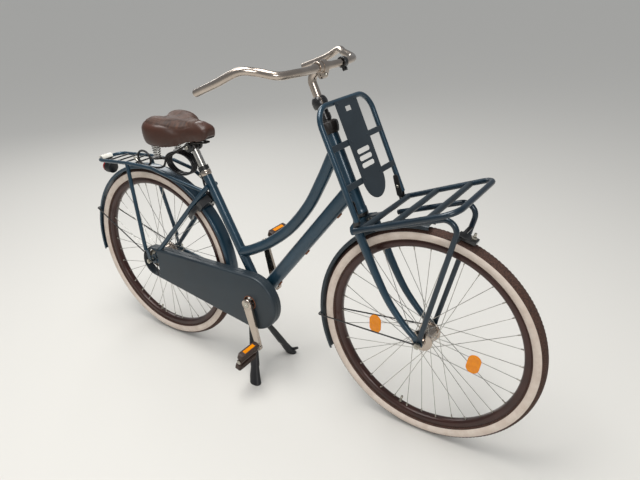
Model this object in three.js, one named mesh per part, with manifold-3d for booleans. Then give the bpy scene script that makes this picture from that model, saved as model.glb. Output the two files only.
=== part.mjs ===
// A Dutch city bicycle with a low curved frame, a closed chain case and a front and a rear carrier,
// standing on its two-legged stand. Lengths are in millimetres and angles in degrees.
// x points forward from the rear axle, y to the rider's left and z up from the ground.
import * as THREE from "three";
import { mergeVertices } from "three/addons/utils/BufferGeometryUtils.js";
import Module from "manifold-3d";

const wasm = await Module();
wasm.setup();

// Wheels
const wheelbase = 1135;
const beadRadius = 311;
const tyreHeight = 47;
const tyreWidth = 47;
const rimWidth = 30;
const rimDepth = 21;
const spokeRadius = 1.1;
const spokesPerFlange = 18;

// Frame
const headTiltAngle = 23.5;
const forkRake = 65;
const headTubeBottom = 420;
const headTubeTop = 668;
const headTubeRadius = 20;
const steererRadius = 14.3;
const crankForward = 495;
const crankHeight = 314;
const crankShellRadius = 21;
const crankShellHalf = 37;
const seatTiltAngle = 26.6;
const seatTubeLength = 478;
const seatTubeRadius = 17;
const seatPostRadius = 13.6;
const topTubeRadius = 19;
const downTubeRadius = 24;
const chainStayRadius = 8;
const seatStayRadius = 9;
const rearDropoutY = 62.5;
const frontDropoutY = 52.5;
const dropoutThickness = 5;
const axleRadius = 4.8;

// Drive
const crankLength = 170;
const crankLeanAngle = 12.6;
const pedalLeanAngle = 72;
const chainLine = 46;
const chainPitch = 12.7;
const chainringTeeth = 38;
const sprocketTeeth = 16;
const toothThickness = 2;

// Rider and luggage
const barRadius = 11.1;
const barReach = 238;
const barHalfWidth = 263;
const barRise = 52;
const stemReach = 44;
const stemHeight = 851;
const quillRadius = 12.6;
const carrierTubeRadius = 8;
const platformLength = 305;
const platformHalfWidth = 150;
const hoopHeight = 745;
const hoopHalfWidth = 140;
const carrierClearance = 12;
const rearCarrierHalfWidth = 57;
const saddleLength = 275;
const saddleHalfWidth = 113;
const saddleRise = 205;
const saddleDepth = 97;
const postHeadroom = 4;

// Mudguards
const mudguardGap = 14;
const mudguardHalfWidth = 26;
const mudguardLip = 12;
const mudguardWall = 1.5;

// Clearances: between touching pieces and in a running bearing; and how far a cutter runs over
const fit = 0.3;
const runningFit = 0.6;
const overrun = 2;
const weld = 1e-4;

const { PI, sin, cos, tan, sqrt, acos, abs, max, min, sign, floor, ceil } = Math;
const rad = THREE.MathUtils.degToRad;
const v2 = (x, y) => new THREE.Vector2(x, y);
const v3 = (x, y, z) => new THREE.Vector3(x, y, z);
const mix = THREE.MathUtils.lerp;

const tyreRadius = beadRadius + tyreHeight;
const mudguardRadius = tyreRadius + mudguardGap;
const rearCarrierHeight = tyreRadius + mudguardRadius + carrierClearance;
const saddleHeight = rearCarrierHeight + saddleRise;
const saddleUnder = saddleHeight - saddleDepth;
const seatPostLength = (saddleUnder - postHeadroom - crankHeight) / cos(rad(seatTiltAngle));
const pitchRadius = (teeth) => chainPitch / (2 * sin(PI / teeth));

const finish = (color, roughness, metalness) =>
  new THREE.MeshStandardMaterial({ color, roughness, metalness });
const petrol = finish(0x2c4a5c, 0.45, 0.3);
const slate = finish(0x39454d, 0.6, 0.2);
const silver = finish(0xc4c0b8, 0.25, 0.9);
const steel = finish(0xa8a6a0, 0.35, 0.9);
const black = finish(0x1a1a1a, 0.5, 0.1);
const brown = finish(0x4a3129, 0.6, 0.05);
const cream = finish(0xd9c2ae, 0.8, 0);
const leather = finish(0x6b4234, 0.5, 0);
const white = finish(0xd8d6cf, 0.5, 0);
const amber = finish(0xe8801c, 0.3, 0);
const red = finish(0xa11a1a, 0.3, 0);

// Geometry with shared vertices, without slivers and with its faces pointing out
function closed(geometry) {
  const loose = geometry.index ? geometry.toNonIndexed() : geometry.clone();
  loose.deleteAttribute("normal");
  loose.deleteAttribute("uv");
  const merged = mergeVertices(loose, weld);
  const at = merged.attributes.position;
  const faces = [];
  const corners = [v3(), v3(), v3()];
  let volume = 0;
  for (let i = 0; i < merged.index.count; i += 3) {
    const ids = [0, 1, 2].map((k) => merged.index.getX(i + k));
    if (ids[0] === ids[1] || ids[1] === ids[2] || ids[2] === ids[0]) continue;
    faces.push(...ids);
    corners.forEach((corner, k) => corner.fromBufferAttribute(at, ids[k]));
    volume += corners[0].dot(corners[1].cross(corners[2]));
  }
  if (volume < 0)
    for (let i = 0; i < faces.length; i += 3)
      [faces[i + 1], faces[i + 2]] = [faces[i + 2], faces[i + 1]];
  merged.setIndex(faces);
  return merged;
}

function solidOf(geometry) {
  const { attributes, index } = closed(geometry);
  return new wasm.Manifold(
    new wasm.Mesh({
      numProp: 3,
      vertProperties: new Float32Array(attributes.position.array),
      triVerts: new Uint32Array(index.array),
    }),
  );
}

function geometryOf(solid) {
  const mesh = solid.getMesh();
  const points = new Float32Array(mesh.numVert * 3);
  for (let i = 0; i < mesh.numVert; i++)
    points.set(mesh.vertProperties.subarray(i * mesh.numProp, i * mesh.numProp + 3), i * 3);
  return new THREE.BufferGeometry()
    .setAttribute("position", new THREE.BufferAttribute(points, 3))
    .setIndex(new THREE.BufferAttribute(mesh.triVerts, 1));
}

const join = (...geometries) =>
  geometryOf(geometries.map(solidOf).reduce((a, b) => a.add(b)));
const cut = (geometry, ...cutters) =>
  geometryOf(cutters.map(solidOf).reduce((a, b) => a.subtract(b), solidOf(geometry)));

const circle = (radius, corners) =>
  Array.from({ length: corners }, (_, i) => v2(radius, 0).rotateAround(v2(), (2 * PI * i) / corners));
const oval = (halfWidth, halfHeight, corners) =>
  circle(1, corners).map((p) => v2(p.x * halfWidth, p.y * halfHeight));

// Arc of points about a centre, angles in radians
const arc = (centre, radius, start, sweep, steps) =>
  Array.from({ length: steps + 1 }, (_, i) =>
    centre.clone().add(v2(radius, 0).rotateAround(v2(), start + (sweep * i) / steps)),
  );

// Outline round two circles and the two straight lines that touch both
function belt(from, fromRadius, to, toRadius, steps = 6) {
  const span = to.clone().sub(from);
  const turn = acos((fromRadius - toRadius) / span.length());
  return [
    ...arc(from, fromRadius, span.angle() + turn, 2 * (PI - turn), steps),
    ...arc(to, toRadius, span.angle() - turn, 2 * turn, steps),
  ];
}

// Closed solid through a row of stations: an outline in two directions about a point each
function loft(stations) {
  const size = stations[0].outline.length;
  const last = stations.length - 1;
  const points = stations.flatMap(({ at, across, up, outline }) =>
    outline.flatMap((p) =>
      at.clone().addScaledVector(across, p.x).addScaledVector(up, p.y).toArray(),
    ),
  );
  const faces = [];
  for (let i = 0; i < last; i++)
    for (let j = 0; j < size; j++) {
      const a = i * size + j;
      const b = i * size + ((j + 1) % size);
      faces.push(a, b, b + size, a, b + size, a + size);
    }
  const turned = THREE.ShapeUtils.isClockWise(stations[0].outline);
  for (const end of [0, last]) {
    const lid = THREE.ShapeUtils.triangulateShape([...stations[end].outline], []);
    const outward = (end === last) !== turned;
    for (const [a, b, c] of lid)
      faces.push(...(outward ? [a, b, c] : [a, c, b]).map((k) => end * size + k));
  }
  return closed(
    new THREE.BufferGeometry()
      .setAttribute("position", new THREE.Float32BufferAttribute(points, 3))
      .setIndex(faces),
  );
}

// Ring-shaped loft: the same with its last station joined to its first
function closedLoop(stations) {
  const size = stations[0].outline.length;
  const points = stations.flatMap(({ at, across, up, outline }) =>
    outline.flatMap((p) =>
      at.clone().addScaledVector(across, p.x).addScaledVector(up, p.y).toArray(),
    ),
  );
  const faces = [];
  stations.forEach((_, i) => {
    const next = ((i + 1) % stations.length) * size;
    for (let j = 0; j < size; j++) {
      const k = (j + 1) % size;
      faces.push(i * size + j, i * size + k, next + k, i * size + j, next + k, next + j);
    }
  });
  return closed(
    new THREE.BufferGeometry()
      .setAttribute("position", new THREE.Float32BufferAttribute(points, 3))
      .setIndex(faces),
  );
}

// Centre line of a bent tube: straight runs from corner to corner, each corner rounded to an arc
class BentLine extends THREE.Curve {
  constructor(corners, bendRadius, arcSteps) {
    super();
    this.points = [corners[0]];
    for (let i = 1; i < corners.length - 1; i++) {
      const into = corners[i].clone().sub(corners[i - 1]).normalize();
      const out = corners[i + 1].clone().sub(corners[i]).normalize();
      const axis = into.clone().cross(out).normalize();
      const turn = into.angleTo(out);
      const start = corners[i].clone().addScaledVector(into, -bendRadius * tan(turn / 2));
      const centre = start.clone().addScaledVector(axis.clone().cross(into), bendRadius);
      for (let step = 0; step <= arcSteps; step++) {
        const spoke = start.clone().sub(centre).applyAxisAngle(axis, (turn * step) / arcSteps);
        this.points.push(centre.clone().add(spoke));
      }
    }
    this.points.push(corners.at(-1));
    this.steps = this.points.length - 1;
  }
  getPoint(share, target = v3()) {
    const i = min(floor(share * this.steps), this.steps - 1);
    return target.copy(this.points[i]).lerp(this.points[i + 1], share * this.steps - i);
  }
  getUtoTmapping(share) {
    return share;
  }
}

const smooth = (points) => new THREE.CatmullRomCurve3(points, false, "catmullrom");

const tube = (curve, radius, corners, steps = curve.steps) =>
  closed(
    new THREE.ExtrudeGeometry(new THREE.Shape(circle(radius, corners)), {
      steps,
      extrudePath: curve,
      bevelEnabled: false,
    }),
  );

// Tube whose outline changes along its curve
function swept(curve, steps, outlineAt) {
  const { normals, binormals } = curve.computeFrenetFrames(steps, false);
  return loft(
    Array.from({ length: steps + 1 }, (_, i) => ({
      at: curve.getPointAt(i / steps),
      across: normals[i],
      up: binormals[i],
      outline: outlineAt(i / steps),
    })),
  );
}

// Straight round bar between two points
function rod(from, to, radius, corners = 12, endRadius = radius) {
  const way = to.clone().sub(from);
  const bar = new THREE.CylinderGeometry(endRadius, radius, way.length(), corners);
  bar.applyQuaternion(
    new THREE.Quaternion().setFromUnitVectors(v3(0, 1, 0), way.clone().normalize()),
  );
  return bar.translate(...from.clone().lerp(to, 1 / 2).toArray());
}

const crossRod = (x, z, halfLength, radius, corners) =>
  rod(v3(x, -halfLength, z), v3(x, halfLength, z), radius, corners);

const block = (x0, x1, y0, y1, z0, z1) =>
  new THREE.BoxGeometry(abs(x1 - x0), abs(y1 - y0), abs(z1 - z0)).translate(
    (x0 + x1) / 2,
    (y0 + y1) / 2,
    (z0 + z1) / 2,
  );

function extruded(outline, depth, holes) {
  const shape = new THREE.Shape(outline);
  shape.holes = holes.map((hole) => new THREE.Path(hole));
  return new THREE.ExtrudeGeometry(shape, { depth, bevelEnabled: false });
}
// Plates: the outline holds x and z, or y and z, and the plate fills the range given
const sidePlate = (outline, y0, y1, holes = []) =>
  extruded(outline, abs(y1 - y0), holes).rotateX(PI / 2).translate(0, max(y0, y1), 0);
const facePlate = (outline, x0, x1, holes = []) =>
  extruded(outline, abs(x1 - x0), holes)
    .rotateX(PI / 2)
    .rotateZ(PI / 2)
    .translate(min(x0, x1), 0, 0);

// Turned pieces: a closed profile of radius and y about the y axis, or of radius and z about z
const turned = (profile, segments) =>
  closed(new THREE.LatheGeometry([...profile, profile[0]].map(([r, y]) => v2(r, y)), segments));
const turnedUp = (profile, segments) => turned(profile, segments).rotateX(PI / 2);
const turnedBack = (profile, segments) => turned(profile, segments).rotateZ(PI / 2);
const mirrored = (half) => [...half.map(([r, y]) => [r, -y]).reverse(), ...half];

const bike = new THREE.Group();
function addGroup(parent, x, y, z, lean = 0) {
  const group = new THREE.Group();
  group.position.set(x, y, z);
  group.rotation.y = -rad(lean);
  parent.add(group);
  return group;
}
function addPart(name, geometry, material, group = bike) {
  const mesh = new THREE.Mesh(geometry, material);
  if (!geometry.attributes.normal) geometry.computeVertexNormals();
  mesh.name = name;
  group.add(mesh);
}
const sides = { right: -1, left: 1 };

// The steering axis has a frame of its own: z runs up the axis, and z = 0 is level with the axle.
const steerX = wheelbase - forkRake * cos(rad(headTiltAngle));
const steerZ = tyreRadius - forkRake * sin(rad(headTiltAngle));
const headFrame = addGroup(bike, steerX, 0, steerZ, headTiltAngle);
const steering = addGroup(bike, steerX, 0, steerZ, headTiltAngle);
const seatFrame = addGroup(bike, crankForward, 0, crankHeight, seatTiltAngle);
const onHead = (z, x = 0) =>
  v3(x, 0, z).applyAxisAngle(v3(0, 1, 0), -rad(headTiltAngle)).add(v3(steerX, 0, steerZ));
const onSeat = (z, x = 0) =>
  v3(x, 0, z).applyAxisAngle(v3(0, 1, 0), -rad(seatTiltAngle)).add(v3(crankForward, 0, crankHeight));
const rearAxle = v3(0, 0, tyreRadius);
const crankCentre = v3(crankForward, 0, crankHeight);
const atAngle = (centre, radius, angle, y = 0) =>
  v3(centre.x + radius * cos(rad(angle)), y, centre.z + radius * sin(rad(angle)));

// Head tube with a reinforced lower lip, bored for the two headset bearings
const headLip = 2;
const headLipHeight = 14;
const headTubeWall = 4;
const headBore = headTubeRadius - headTubeWall;
addPart(
  "head_tube",
  turnedUp(
    [
      [headBore, headTubeBottom],
      [headTubeRadius + headLip, headTubeBottom],
      [headTubeRadius + headLip, headTubeBottom + headLipHeight],
      [headTubeRadius, headTubeBottom + headLipHeight + headLip],
      [headTubeRadius, headTubeTop],
      [headBore, headTubeTop],
    ],
    16,
  ),
  petrol,
  headFrame,
);
const headKeepOut = rod(
  onHead(headTubeBottom - overrun),
  onHead(headTubeTop + overrun),
  headTubeRadius + fit,
  16,
);

// Bottom bracket shell, closed towards the spindle by its two screwed cups
const spindleRadius = 8.5;
const cupDepth = 15;
const cupWall = 4;
addPart(
  "bottom_bracket_shell",
  turned(
    mirrored([
      [crankShellRadius, crankShellHalf],
      [spindleRadius + runningFit, crankShellHalf],
      [spindleRadius + runningFit, crankShellHalf - cupDepth],
      [crankShellRadius - cupWall, crankShellHalf - cupDepth],
    ]),
    16,
  ),
  petrol,
  addGroup(bike, crankForward, 0, crankHeight),
);
const shellKeepOut = crossRod(
  crankForward,
  crankHeight,
  crankShellHalf + overrun,
  crankShellRadius + fit,
  16,
);

// Seat tube, slotted at the back of its mouth so that the clamp can close it on the seat post
const slotLength = 35;
const slotWidth = 2.6;
const seatBore = seatPostRadius + fit;
addPart(
  "seat_tube",
  cut(
    rod(v3(), v3(0, 0, seatTubeLength), seatTubeRadius, 16),
    rod(v3(0, 0, -overrun), v3(0, 0, seatTubeLength + overrun), seatBore, 16),
    crossRod(0, 0, crankShellHalf, crankShellRadius + fit, 16),
    block(
      -seatTubeRadius - overrun,
      0,
      -slotWidth / 2,
      slotWidth / 2,
      seatTubeLength - slotLength,
      seatTubeLength + overrun,
    ),
  ),
  petrol,
  seatFrame,
);
const seatKeepOut = rod(
  onSeat(0),
  onSeat(seatTubeLength + overrun),
  seatTubeRadius + fit,
  16,
);

// Top tube: one low curve. Its shares are along the chord and of the greatest bow.
const topTubeAtHead = 627;
const topTubeAtSeat = 170;
const topTubeBow = 67;
const topTubeShares = [
  [0, 0],
  [0.13, 0.36],
  [0.2, 0.54],
  [0.37, 0.9],
  [0.57, 1],
  [0.75, 0.78],
  [0.9, 0.38],
  [1, 0],
];
const topTubeStart = onHead(topTubeAtHead);
const topTubeEnd = onSeat(topTubeAtSeat);
const topTubeSag = topTubeEnd.clone().sub(topTubeStart).normalize().cross(v3(0, 1, 0));
const topTubeCurve = smooth(
  topTubeShares.map(([along, bow]) =>
    topTubeStart
      .clone()
      .lerp(topTubeEnd, along)
      .addScaledVector(topTubeSag, bow * topTubeBow),
  ),
);
addPart(
  "top_tube",
  cut(tube(topTubeCurve, topTubeRadius, 12, 10), headKeepOut, seatKeepOut),
  petrol,
);

// Down tube: straight and fat, with cable guides along its underside
const downTubeAtHead = 496;
const guideLength = 12;
const guideRadius = 4;
const guideShares = [0.17, 0.5, 0.82];
const downTubeTop = onHead(downTubeAtHead);
const downTubeWay = crankCentre.clone().sub(downTubeTop).normalize();
const underDownTube = downTubeWay.clone().cross(v3(0, 1, 0)).multiplyScalar(downTubeRadius);
const guides = guideShares.map((share) => {
  const middle = downTubeTop.clone().lerp(crankCentre, share).add(underDownTube);
  return rod(
    middle.clone().addScaledVector(downTubeWay, -guideLength),
    middle.clone().addScaledVector(downTubeWay, guideLength),
    guideRadius,
    6,
  );
});
addPart(
  "down_tube",
  cut(
    join(rod(downTubeTop, crankCentre, downTubeRadius, 18), ...guides),
    headKeepOut,
    shellKeepOut,
    seatKeepOut,
  ),
  petrol,
);

// Rear triangle: each chain stay carries its dropout plate, open to the rear for the axle
const stayAtShellY = 28;
const dropoutReach = 22;
const dropoutRadius = 16;
const dropoutHorn = 20;
const bridgeRadius = 7;
const bridgeBolt = 4;
const chainBridgeAngle = -5;
const seatBridgeGap = 13;
const seatStayDrop = 46;
const seatStayAt = seatTubeLength - seatStayDrop;
const seatStayTopY = 19;
// How far along the seat stay, and how far out it stands from its top end to its foot
const seatStayShares = [
  [0, 1],
  [0.25, 0.83],
  [0.5, 0.65],
  [0.7, 0.5],
  [0.81, 0.41],
  [0.91, 0.24],
  [1, 0],
];
const boltReach = fit + bridgeRadius;
const seatBridgeShare = 0.4;
const seatBridgeY = mix(seatStayTopY, rearDropoutY, seatBridgeShare);

function dropout(side) {
  const y0 = side * (rearDropoutY - dropoutThickness / 2);
  const y1 = side * (rearDropoutY + dropoutThickness / 2);
  const axle = v2(0, tyreRadius);
  const plates = join(
    sidePlate(belt(axle, dropoutRadius, v2(dropoutReach + dropoutHorn, tyreRadius), chainStayRadius), y0, y1),
    sidePlate(belt(axle, dropoutRadius, v2(dropoutRadius, tyreRadius + dropoutHorn), seatStayRadius), y0, y1),
  );
  return cut(
    plates,
    crossRod(0, tyreRadius, rearDropoutY + dropoutThickness, axleRadius + fit, 8),
    block(
      -dropoutRadius - overrun,
      0,
      y0 - side * overrun,
      y1 + side * overrun,
      tyreRadius - axleRadius - fit,
      tyreRadius + axleRadius + fit,
    ),
  );
}
function seatStayCurve(side) {
  const foot = v3(dropoutRadius, 0, tyreRadius + dropoutHorn);
  const top = onSeat(seatStayAt);
  return smooth(
    seatStayShares.map(([along, out]) =>
      foot
        .clone()
        .lerp(top, along)
        .setY(side * mix(seatStayTopY, rearDropoutY, out)),
    ),
  );
}
const dropoutKeepOut = (side) =>
  block(
    -dropoutRadius - overrun,
    dropoutReach + dropoutHorn,
    side * (rearDropoutY - dropoutThickness / 2 - fit),
    side * (rearDropoutY + dropoutThickness / 2 + fit),
    tyreRadius - dropoutRadius,
    tyreRadius + dropoutHorn + seatStayRadius + fit,
  );
const chainStay = (side, radius = chainStayRadius) =>
  rod(
    v3(crankForward, side * stayAtShellY, crankHeight),
    v3(dropoutReach, side * rearDropoutY, tyreRadius),
    radius,
    8,
  );
const chainBridge = atAngle(rearAxle, mudguardRadius + boltReach, chainBridgeAngle);
const stayLine = seatStayCurve(1);
let bridgeAlong = 1;
const onStay = (share) => stayLine.getPoint(share).setY(0);
while (onStay(bridgeAlong).distanceTo(rearAxle) > mudguardRadius + seatBridgeGap + bridgeRadius)
  bridgeAlong -= 1 / 2000;
const seatBridge = onStay(bridgeAlong);
const seatBridgeAngle = THREE.MathUtils.radToDeg(v2(seatBridge.x, seatBridge.z - tyreRadius).angle());
const seatStay = (side, radius = seatStayRadius) => tube(seatStayCurve(side), radius, 8, 7);

for (const [name, side] of Object.entries(sides)) {
  const bridges = side > 0;
  const stay = join(chainStay(side), dropout(side));
  addPart(
    `chain_stay_${name}`,
    bridges
      ? cut(
          join(stay, crossRod(chainBridge.x, chainBridge.z, stayAtShellY + chainStayRadius, bridgeRadius)),
          chainStay(-side, chainStayRadius + fit),
          shellKeepOut,
        )
      : cut(stay, shellKeepOut),
    petrol,
  );
  const upper = cut(seatStay(side), dropoutKeepOut(side), seatKeepOut);
  addPart(
    `seat_stay_${name}`,
    bridges
      ? cut(
          join(
            upper,
            rod(
              seatBridge.clone().setY(seatBridgeY),
              seatBridge.clone().setY(seatStayRadius / 2 - seatBridgeY),
              bridgeRadius,
            ),
            rod(seatBridge, atAngle(rearAxle, mudguardRadius + fit, seatBridgeAngle), bridgeBolt),
          ),
          seatStay(-side, seatStayRadius + fit),
        )
      : upper,
    petrol,
  );
}

// Headset: a cup below, and above it a fluted cover that widens towards the top
const bearingHeight = 12;
const cupInsert = 14;
const coverHeight = 38;
const coverWide = 26;
const coverFlute = 1.5;
const coverFlutes = 10;
const steererBore = steererRadius + runningFit;
const crownTop = headTubeBottom - bearingHeight;
addPart(
  "headset_cup",
  turnedUp(
    [
      [steererBore, crownTop + runningFit],
      [headTubeRadius + headLip, crownTop + runningFit],
      [headTubeRadius + headLip, headTubeBottom - fit],
      [headBore - fit, headTubeBottom - fit],
      [headBore - fit, headTubeBottom + cupInsert],
      [steererBore, headTubeBottom + cupInsert],
    ],
    16,
  ),
  black,
  headFrame,
);
const fluted = (radius) =>
  circle(1, 2 * coverFlutes).map((p, i) => p.multiplyScalar(radius - (i % 2) * coverFlute));
// Height up the cover, and where its radius lies between the head tube's and the widest
const coverShares = [
  [0, 0],
  [0.15, 0.35],
  [0.7, 1],
  [0.94, 1],
  [1, 0.55],
];
const coverBase = headTubeTop + fit;
addPart(
  "headset_cover",
  cut(
    loft(
      coverShares.map(([up, wide]) => ({
        at: v3(0, 0, coverBase + up * coverHeight),
        across: v3(1, 0, 0),
        up: v3(0, 1, 0),
        outline: fluted(mix(headTubeRadius, coverWide, wide)),
      })),
    ),
    rod(
      v3(0, 0, headTubeTop - overrun),
      v3(0, 0, coverBase + coverHeight + overrun),
      steererBore,
      16,
    ),
  ),
  brown,
  headFrame,
);

// Locknut on the steerer, then the split collar that clamps the quill: the locknut's neck and the collar share the
// height between the headset cover and the stem's bend
const stemBendRadius = 26;
const clampEar = 15;
const neckShare = 0.193;
const collarHeightShare = 0.53;
const locknutRadius = 18;
const locknutHeight = 8;
const locknutBase = coverBase + coverHeight + runningFit;
const stackRoom = stemHeight - clampEar - stemBendRadius - coverBase - coverHeight;
const locknutNeck = neckShare * stackRoom;
const steererTop = locknutBase + locknutHeight + locknutNeck;
addPart(
  "headset_locknut",
  turnedUp(
    [
      [steererRadius + fit, locknutBase],
      [locknutRadius, locknutBase],
      [locknutRadius, locknutBase + locknutHeight],
      [locknutRadius - headLip, locknutBase + locknutHeight],
      [locknutRadius - headLip, steererTop],
      [steererRadius + fit, steererTop],
    ],
    16,
  ),
  black,
  steering,
);
const collarHeight = collarHeightShare * stackRoom;
const collarWide = 23;
const collarSplit = 3;
const collarBase = steererTop + fit;
const collarShares = [
  [0, 0.75],
  [0.35, 1],
  [0.7, 0.95],
  [0.9, 0.6],
  [1, 0.25],
];
addPart(
  "stem_collar",
  cut(
    turnedUp(
      [
        [quillRadius + fit, collarBase],
        ...collarShares.map(([up, wide]) => [
          mix(quillRadius + fit, collarWide, wide),
          collarBase + up * collarHeight,
        ]),
        [quillRadius + fit, collarBase + collarHeight],
      ],
      18,
    ),
    block(
      0,
      collarWide + overrun,
      -collarSplit / 2,
      collarSplit / 2,
      collarBase - overrun,
      collarBase + collarHeight + overrun,
    ),
  ),
  black,
  steering,
);

// Stem: a quill that bends forward into the bar clamp, which is split below and closed by a bolt
const quillBottom = 600;
const clampRadius = 17.5;
const clampHalf = 20;
const clampEarHalf = 9;
const clampBolt = 4;
const sleeveWall = 1.6;
const sleeveRadius = barRadius + sleeveWall;
const barCentre = v3(stemReach, 0, stemHeight);
const earBottom = stemHeight - clampRadius - clampEar;
addPart(
  "stem",
  cut(
    join(
      tube(
        new BentLine(
          [v3(0, 0, quillBottom), v3(0, 0, stemHeight - clampEar), barCentre],
          stemBendRadius,
          4,
        ),
        quillRadius,
        12,
      ),
      crossRod(barCentre.x, barCentre.z, clampHalf, clampRadius, 14),
      block(
        stemReach - clampEarHalf,
        stemReach + clampEarHalf,
        -clampEarHalf,
        clampEarHalf,
        earBottom,
        stemHeight - clampRadius / 2,
      ),
    ),
    crossRod(barCentre.x, barCentre.z, clampHalf + overrun, sleeveRadius + runningFit, 12),
    block(
      stemReach - slotWidth / 2,
      stemReach + slotWidth / 2,
      -clampHalf - overrun,
      clampHalf + overrun,
      earBottom - overrun,
      stemHeight,
    ),
  ),
  silver,
  steering,
);

// Handlebar: shares of its reach backwards, its half width and its rise, from the clamp outwards
const barShares = [
  [0, 0, 0],
  [-0.025, 0.255, -0.05],
  [-0.055, 0.5, -0.045],
  [0.02, 0.715, 0.1],
  [0.18, 0.81, 0.62],
  [0.32, 0.925, 0.97],
  [0.62, 1, 0.92],
  [1, 0.965, 1],
];
const barWall = 1.6;
const barBore = 30;
const sleeveHalf = 24;
const barPoint = (side, [back, out, rise]) =>
  v3(stemReach - back * barReach, side * out * barHalfWidth, stemHeight + rise * barRise);
const barCurve = smooth([
  ...barShares.slice(1).map((row) => barPoint(-1, row)).reverse(),
  ...barShares.map((row) => barPoint(1, row)),
]);
const barEnd = (end) => {
  const inward = barCurve.getTangentAt(end).multiplyScalar(end ? -1 : 1);
  const tip = barCurve.getPointAt(end);
  return rod(
    tip.clone().addScaledVector(inward, -overrun),
    tip.clone().addScaledVector(inward, barBore),
    barRadius - barWall,
    8,
  );
};
addPart(
  "handlebar",
  cut(
    join(
      tube(barCurve, barRadius, 8, 24),
      crossRod(barCentre.x, barCentre.z, sleeveHalf, sleeveRadius, 12),
    ),
    barEnd(0),
    barEnd(1),
  ),
  silver,
  steering,
);

// Small black mounting clamp on the left half of the bar
const clampAt = 100;
const smallClampWall = 4;
const smallClampBore = barRadius + 2 * runningFit;
const smallClampHalf = 8;
const smallClampTab = 26;
let clampShare = 1 / 2;
while (barCurve.getPointAt(clampShare).y < clampAt) clampShare += 1 / 500;
const clampPlace = barCurve.getPointAt(clampShare);
const clampWay = barCurve.getTangentAt(clampShare);
const alongBar = (distance) => clampPlace.clone().addScaledVector(clampWay, distance);
addPart(
  "bar_clamp",
  cut(
    join(
      rod(
        alongBar(-smallClampHalf),
        alongBar(smallClampHalf),
        smallClampBore + smallClampWall,
        16,
      ),
      block(
        clampPlace.x - smallClampWall,
        clampPlace.x + smallClampWall,
        clampPlace.y - smallClampHalf,
        clampPlace.y + smallClampHalf,
        clampPlace.z - smallClampTab,
        clampPlace.z - smallClampBore,
      ),
    ),
    rod(
      alongBar(-smallClampHalf - overrun),
      alongBar(smallClampHalf + overrun),
      smallClampBore,
      16,
    ),
  ),
  black,
  steering,
);

// Fork: steerer, arched crown, two raked and tapered blades, and slotted dropout plates
const crownHalf = 67;
const crownDepth = 36;
const crownHalfLength = 16;
const bladeTopY = 52;
const bladeTopRadius = 14;
const bladeEndRadius = 9;
const bladeEnd = 26;
const forkDropoutRadius = 13;
// Half width and depth below the top of the crown's outline, from the middle outwards
const crownShares = [
  [0.36, 0],
  [0.9, 0.28],
  [1, 0.6],
  [1, 1],
  [0.57, 1],
  [0.45, 0.6],
  [0.25, 0.5],
];
// Forward as a share of the rake, and height as a share of the crown's
const bladeShares = [
  [0.046, 0.955],
  [0.09, 0.735],
  [0.14, 0.54],
  [0.28, 0.343],
  [0.58, 0.172],
];
const frontAxle = v3(forkRake, 0, 0);
const bladeCurve = (side) =>
  smooth(
    [...bladeShares.map(([x, z]) => [x * forkRake, z * crownTop]), [forkRake - bladeEndRadius, bladeEnd]].map(
      ([x, z]) => v3(x, side * bladeTopY, z),
    ),
  );
const blade = (side) =>
  swept(bladeCurve(side), 7, (share) =>
    circle(mix(bladeTopRadius, bladeEndRadius, share), 8),
  );
const crownOutline = crownShares.map(([y, z]) => v2(y * crownHalf, crownTop - z * crownDepth));
const crown = facePlate(
  [...crownOutline.map((p) => v2(-p.x, p.y)).reverse(), ...crownOutline],
  -crownHalfLength,
  crownHalfLength,
);
const forkDropout = (side) =>
  cut(
    sidePlate(
      belt(
        v2(forkRake - bladeEndRadius, bladeEnd + bladeEndRadius),
        bladeEndRadius,
        v2(forkRake, 0),
        forkDropoutRadius,
      ),
      side * (frontDropoutY - dropoutThickness / 2),
      side * (frontDropoutY + dropoutThickness / 2),
    ),
    crossRod(forkRake, 0, frontDropoutY + dropoutThickness, axleRadius + fit, 8),
    block(
      forkRake - axleRadius - fit,
      forkRake + axleRadius + fit,
      -frontDropoutY - dropoutThickness,
      frontDropoutY + dropoutThickness,
      -forkDropoutRadius - overrun,
      0,
    ),
  );
const crownUnder = crownTop - crownDepth / 2;
const guardAbove = sqrt(mudguardRadius ** 2 - forkRake ** 2);
addPart(
  "fork",
  join(
    cut(
      rod(v3(0, 0, crownUnder), v3(0, 0, steererTop), steererRadius, 16),
      rod(
        v3(0, 0, quillBottom - overrun),
        v3(0, 0, steererTop + overrun),
        quillRadius + fit,
        16,
      ),
    ),
    crown,
    rod(v3(0, 0, guardAbove + fit + (bridgeBolt * forkRake) / guardAbove), v3(0, 0, crownUnder + overrun), bridgeBolt),
    ...[-1, 1].flatMap((side) => [blade(side), forkDropout(side)]),
  ),
  petrol,
  steering,
);

// Mudguards: a rolled channel that follows the tyre over part of a turn
const channelShares = [
  [1, 1],
  [0.93, 0.3],
  [0.5, 0],
];
const channelSide = (half, wall) =>
  channelShares.map(([y, depth], i) => v2(y * half, -wall - (i ? depth * (mudguardLip - wall) : mudguardLip - wall)));
function channel() {
  const outer = channelSide(mudguardHalfWidth, 0);
  const inner = channelSide(mudguardHalfWidth - mudguardWall, mudguardWall);
  const across = (side) => [...side.map((p) => v2(-p.x, p.y)), ...[...side].reverse()];
  return [...across(outer), ...across(inner).reverse()];
}
const mudguard = (centre, start, end, steps) =>
  loft(
    Array.from({ length: steps + 1 }, (_, i) => {
      const angle = mix(start, end, i / steps);
      return {
        at: atAngle(centre, mudguardRadius, angle),
        across: v3(0, 1, 0),
        up: atAngle(v3(), 1, angle),
        outline: channel(),
      };
    }),
  );
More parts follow.
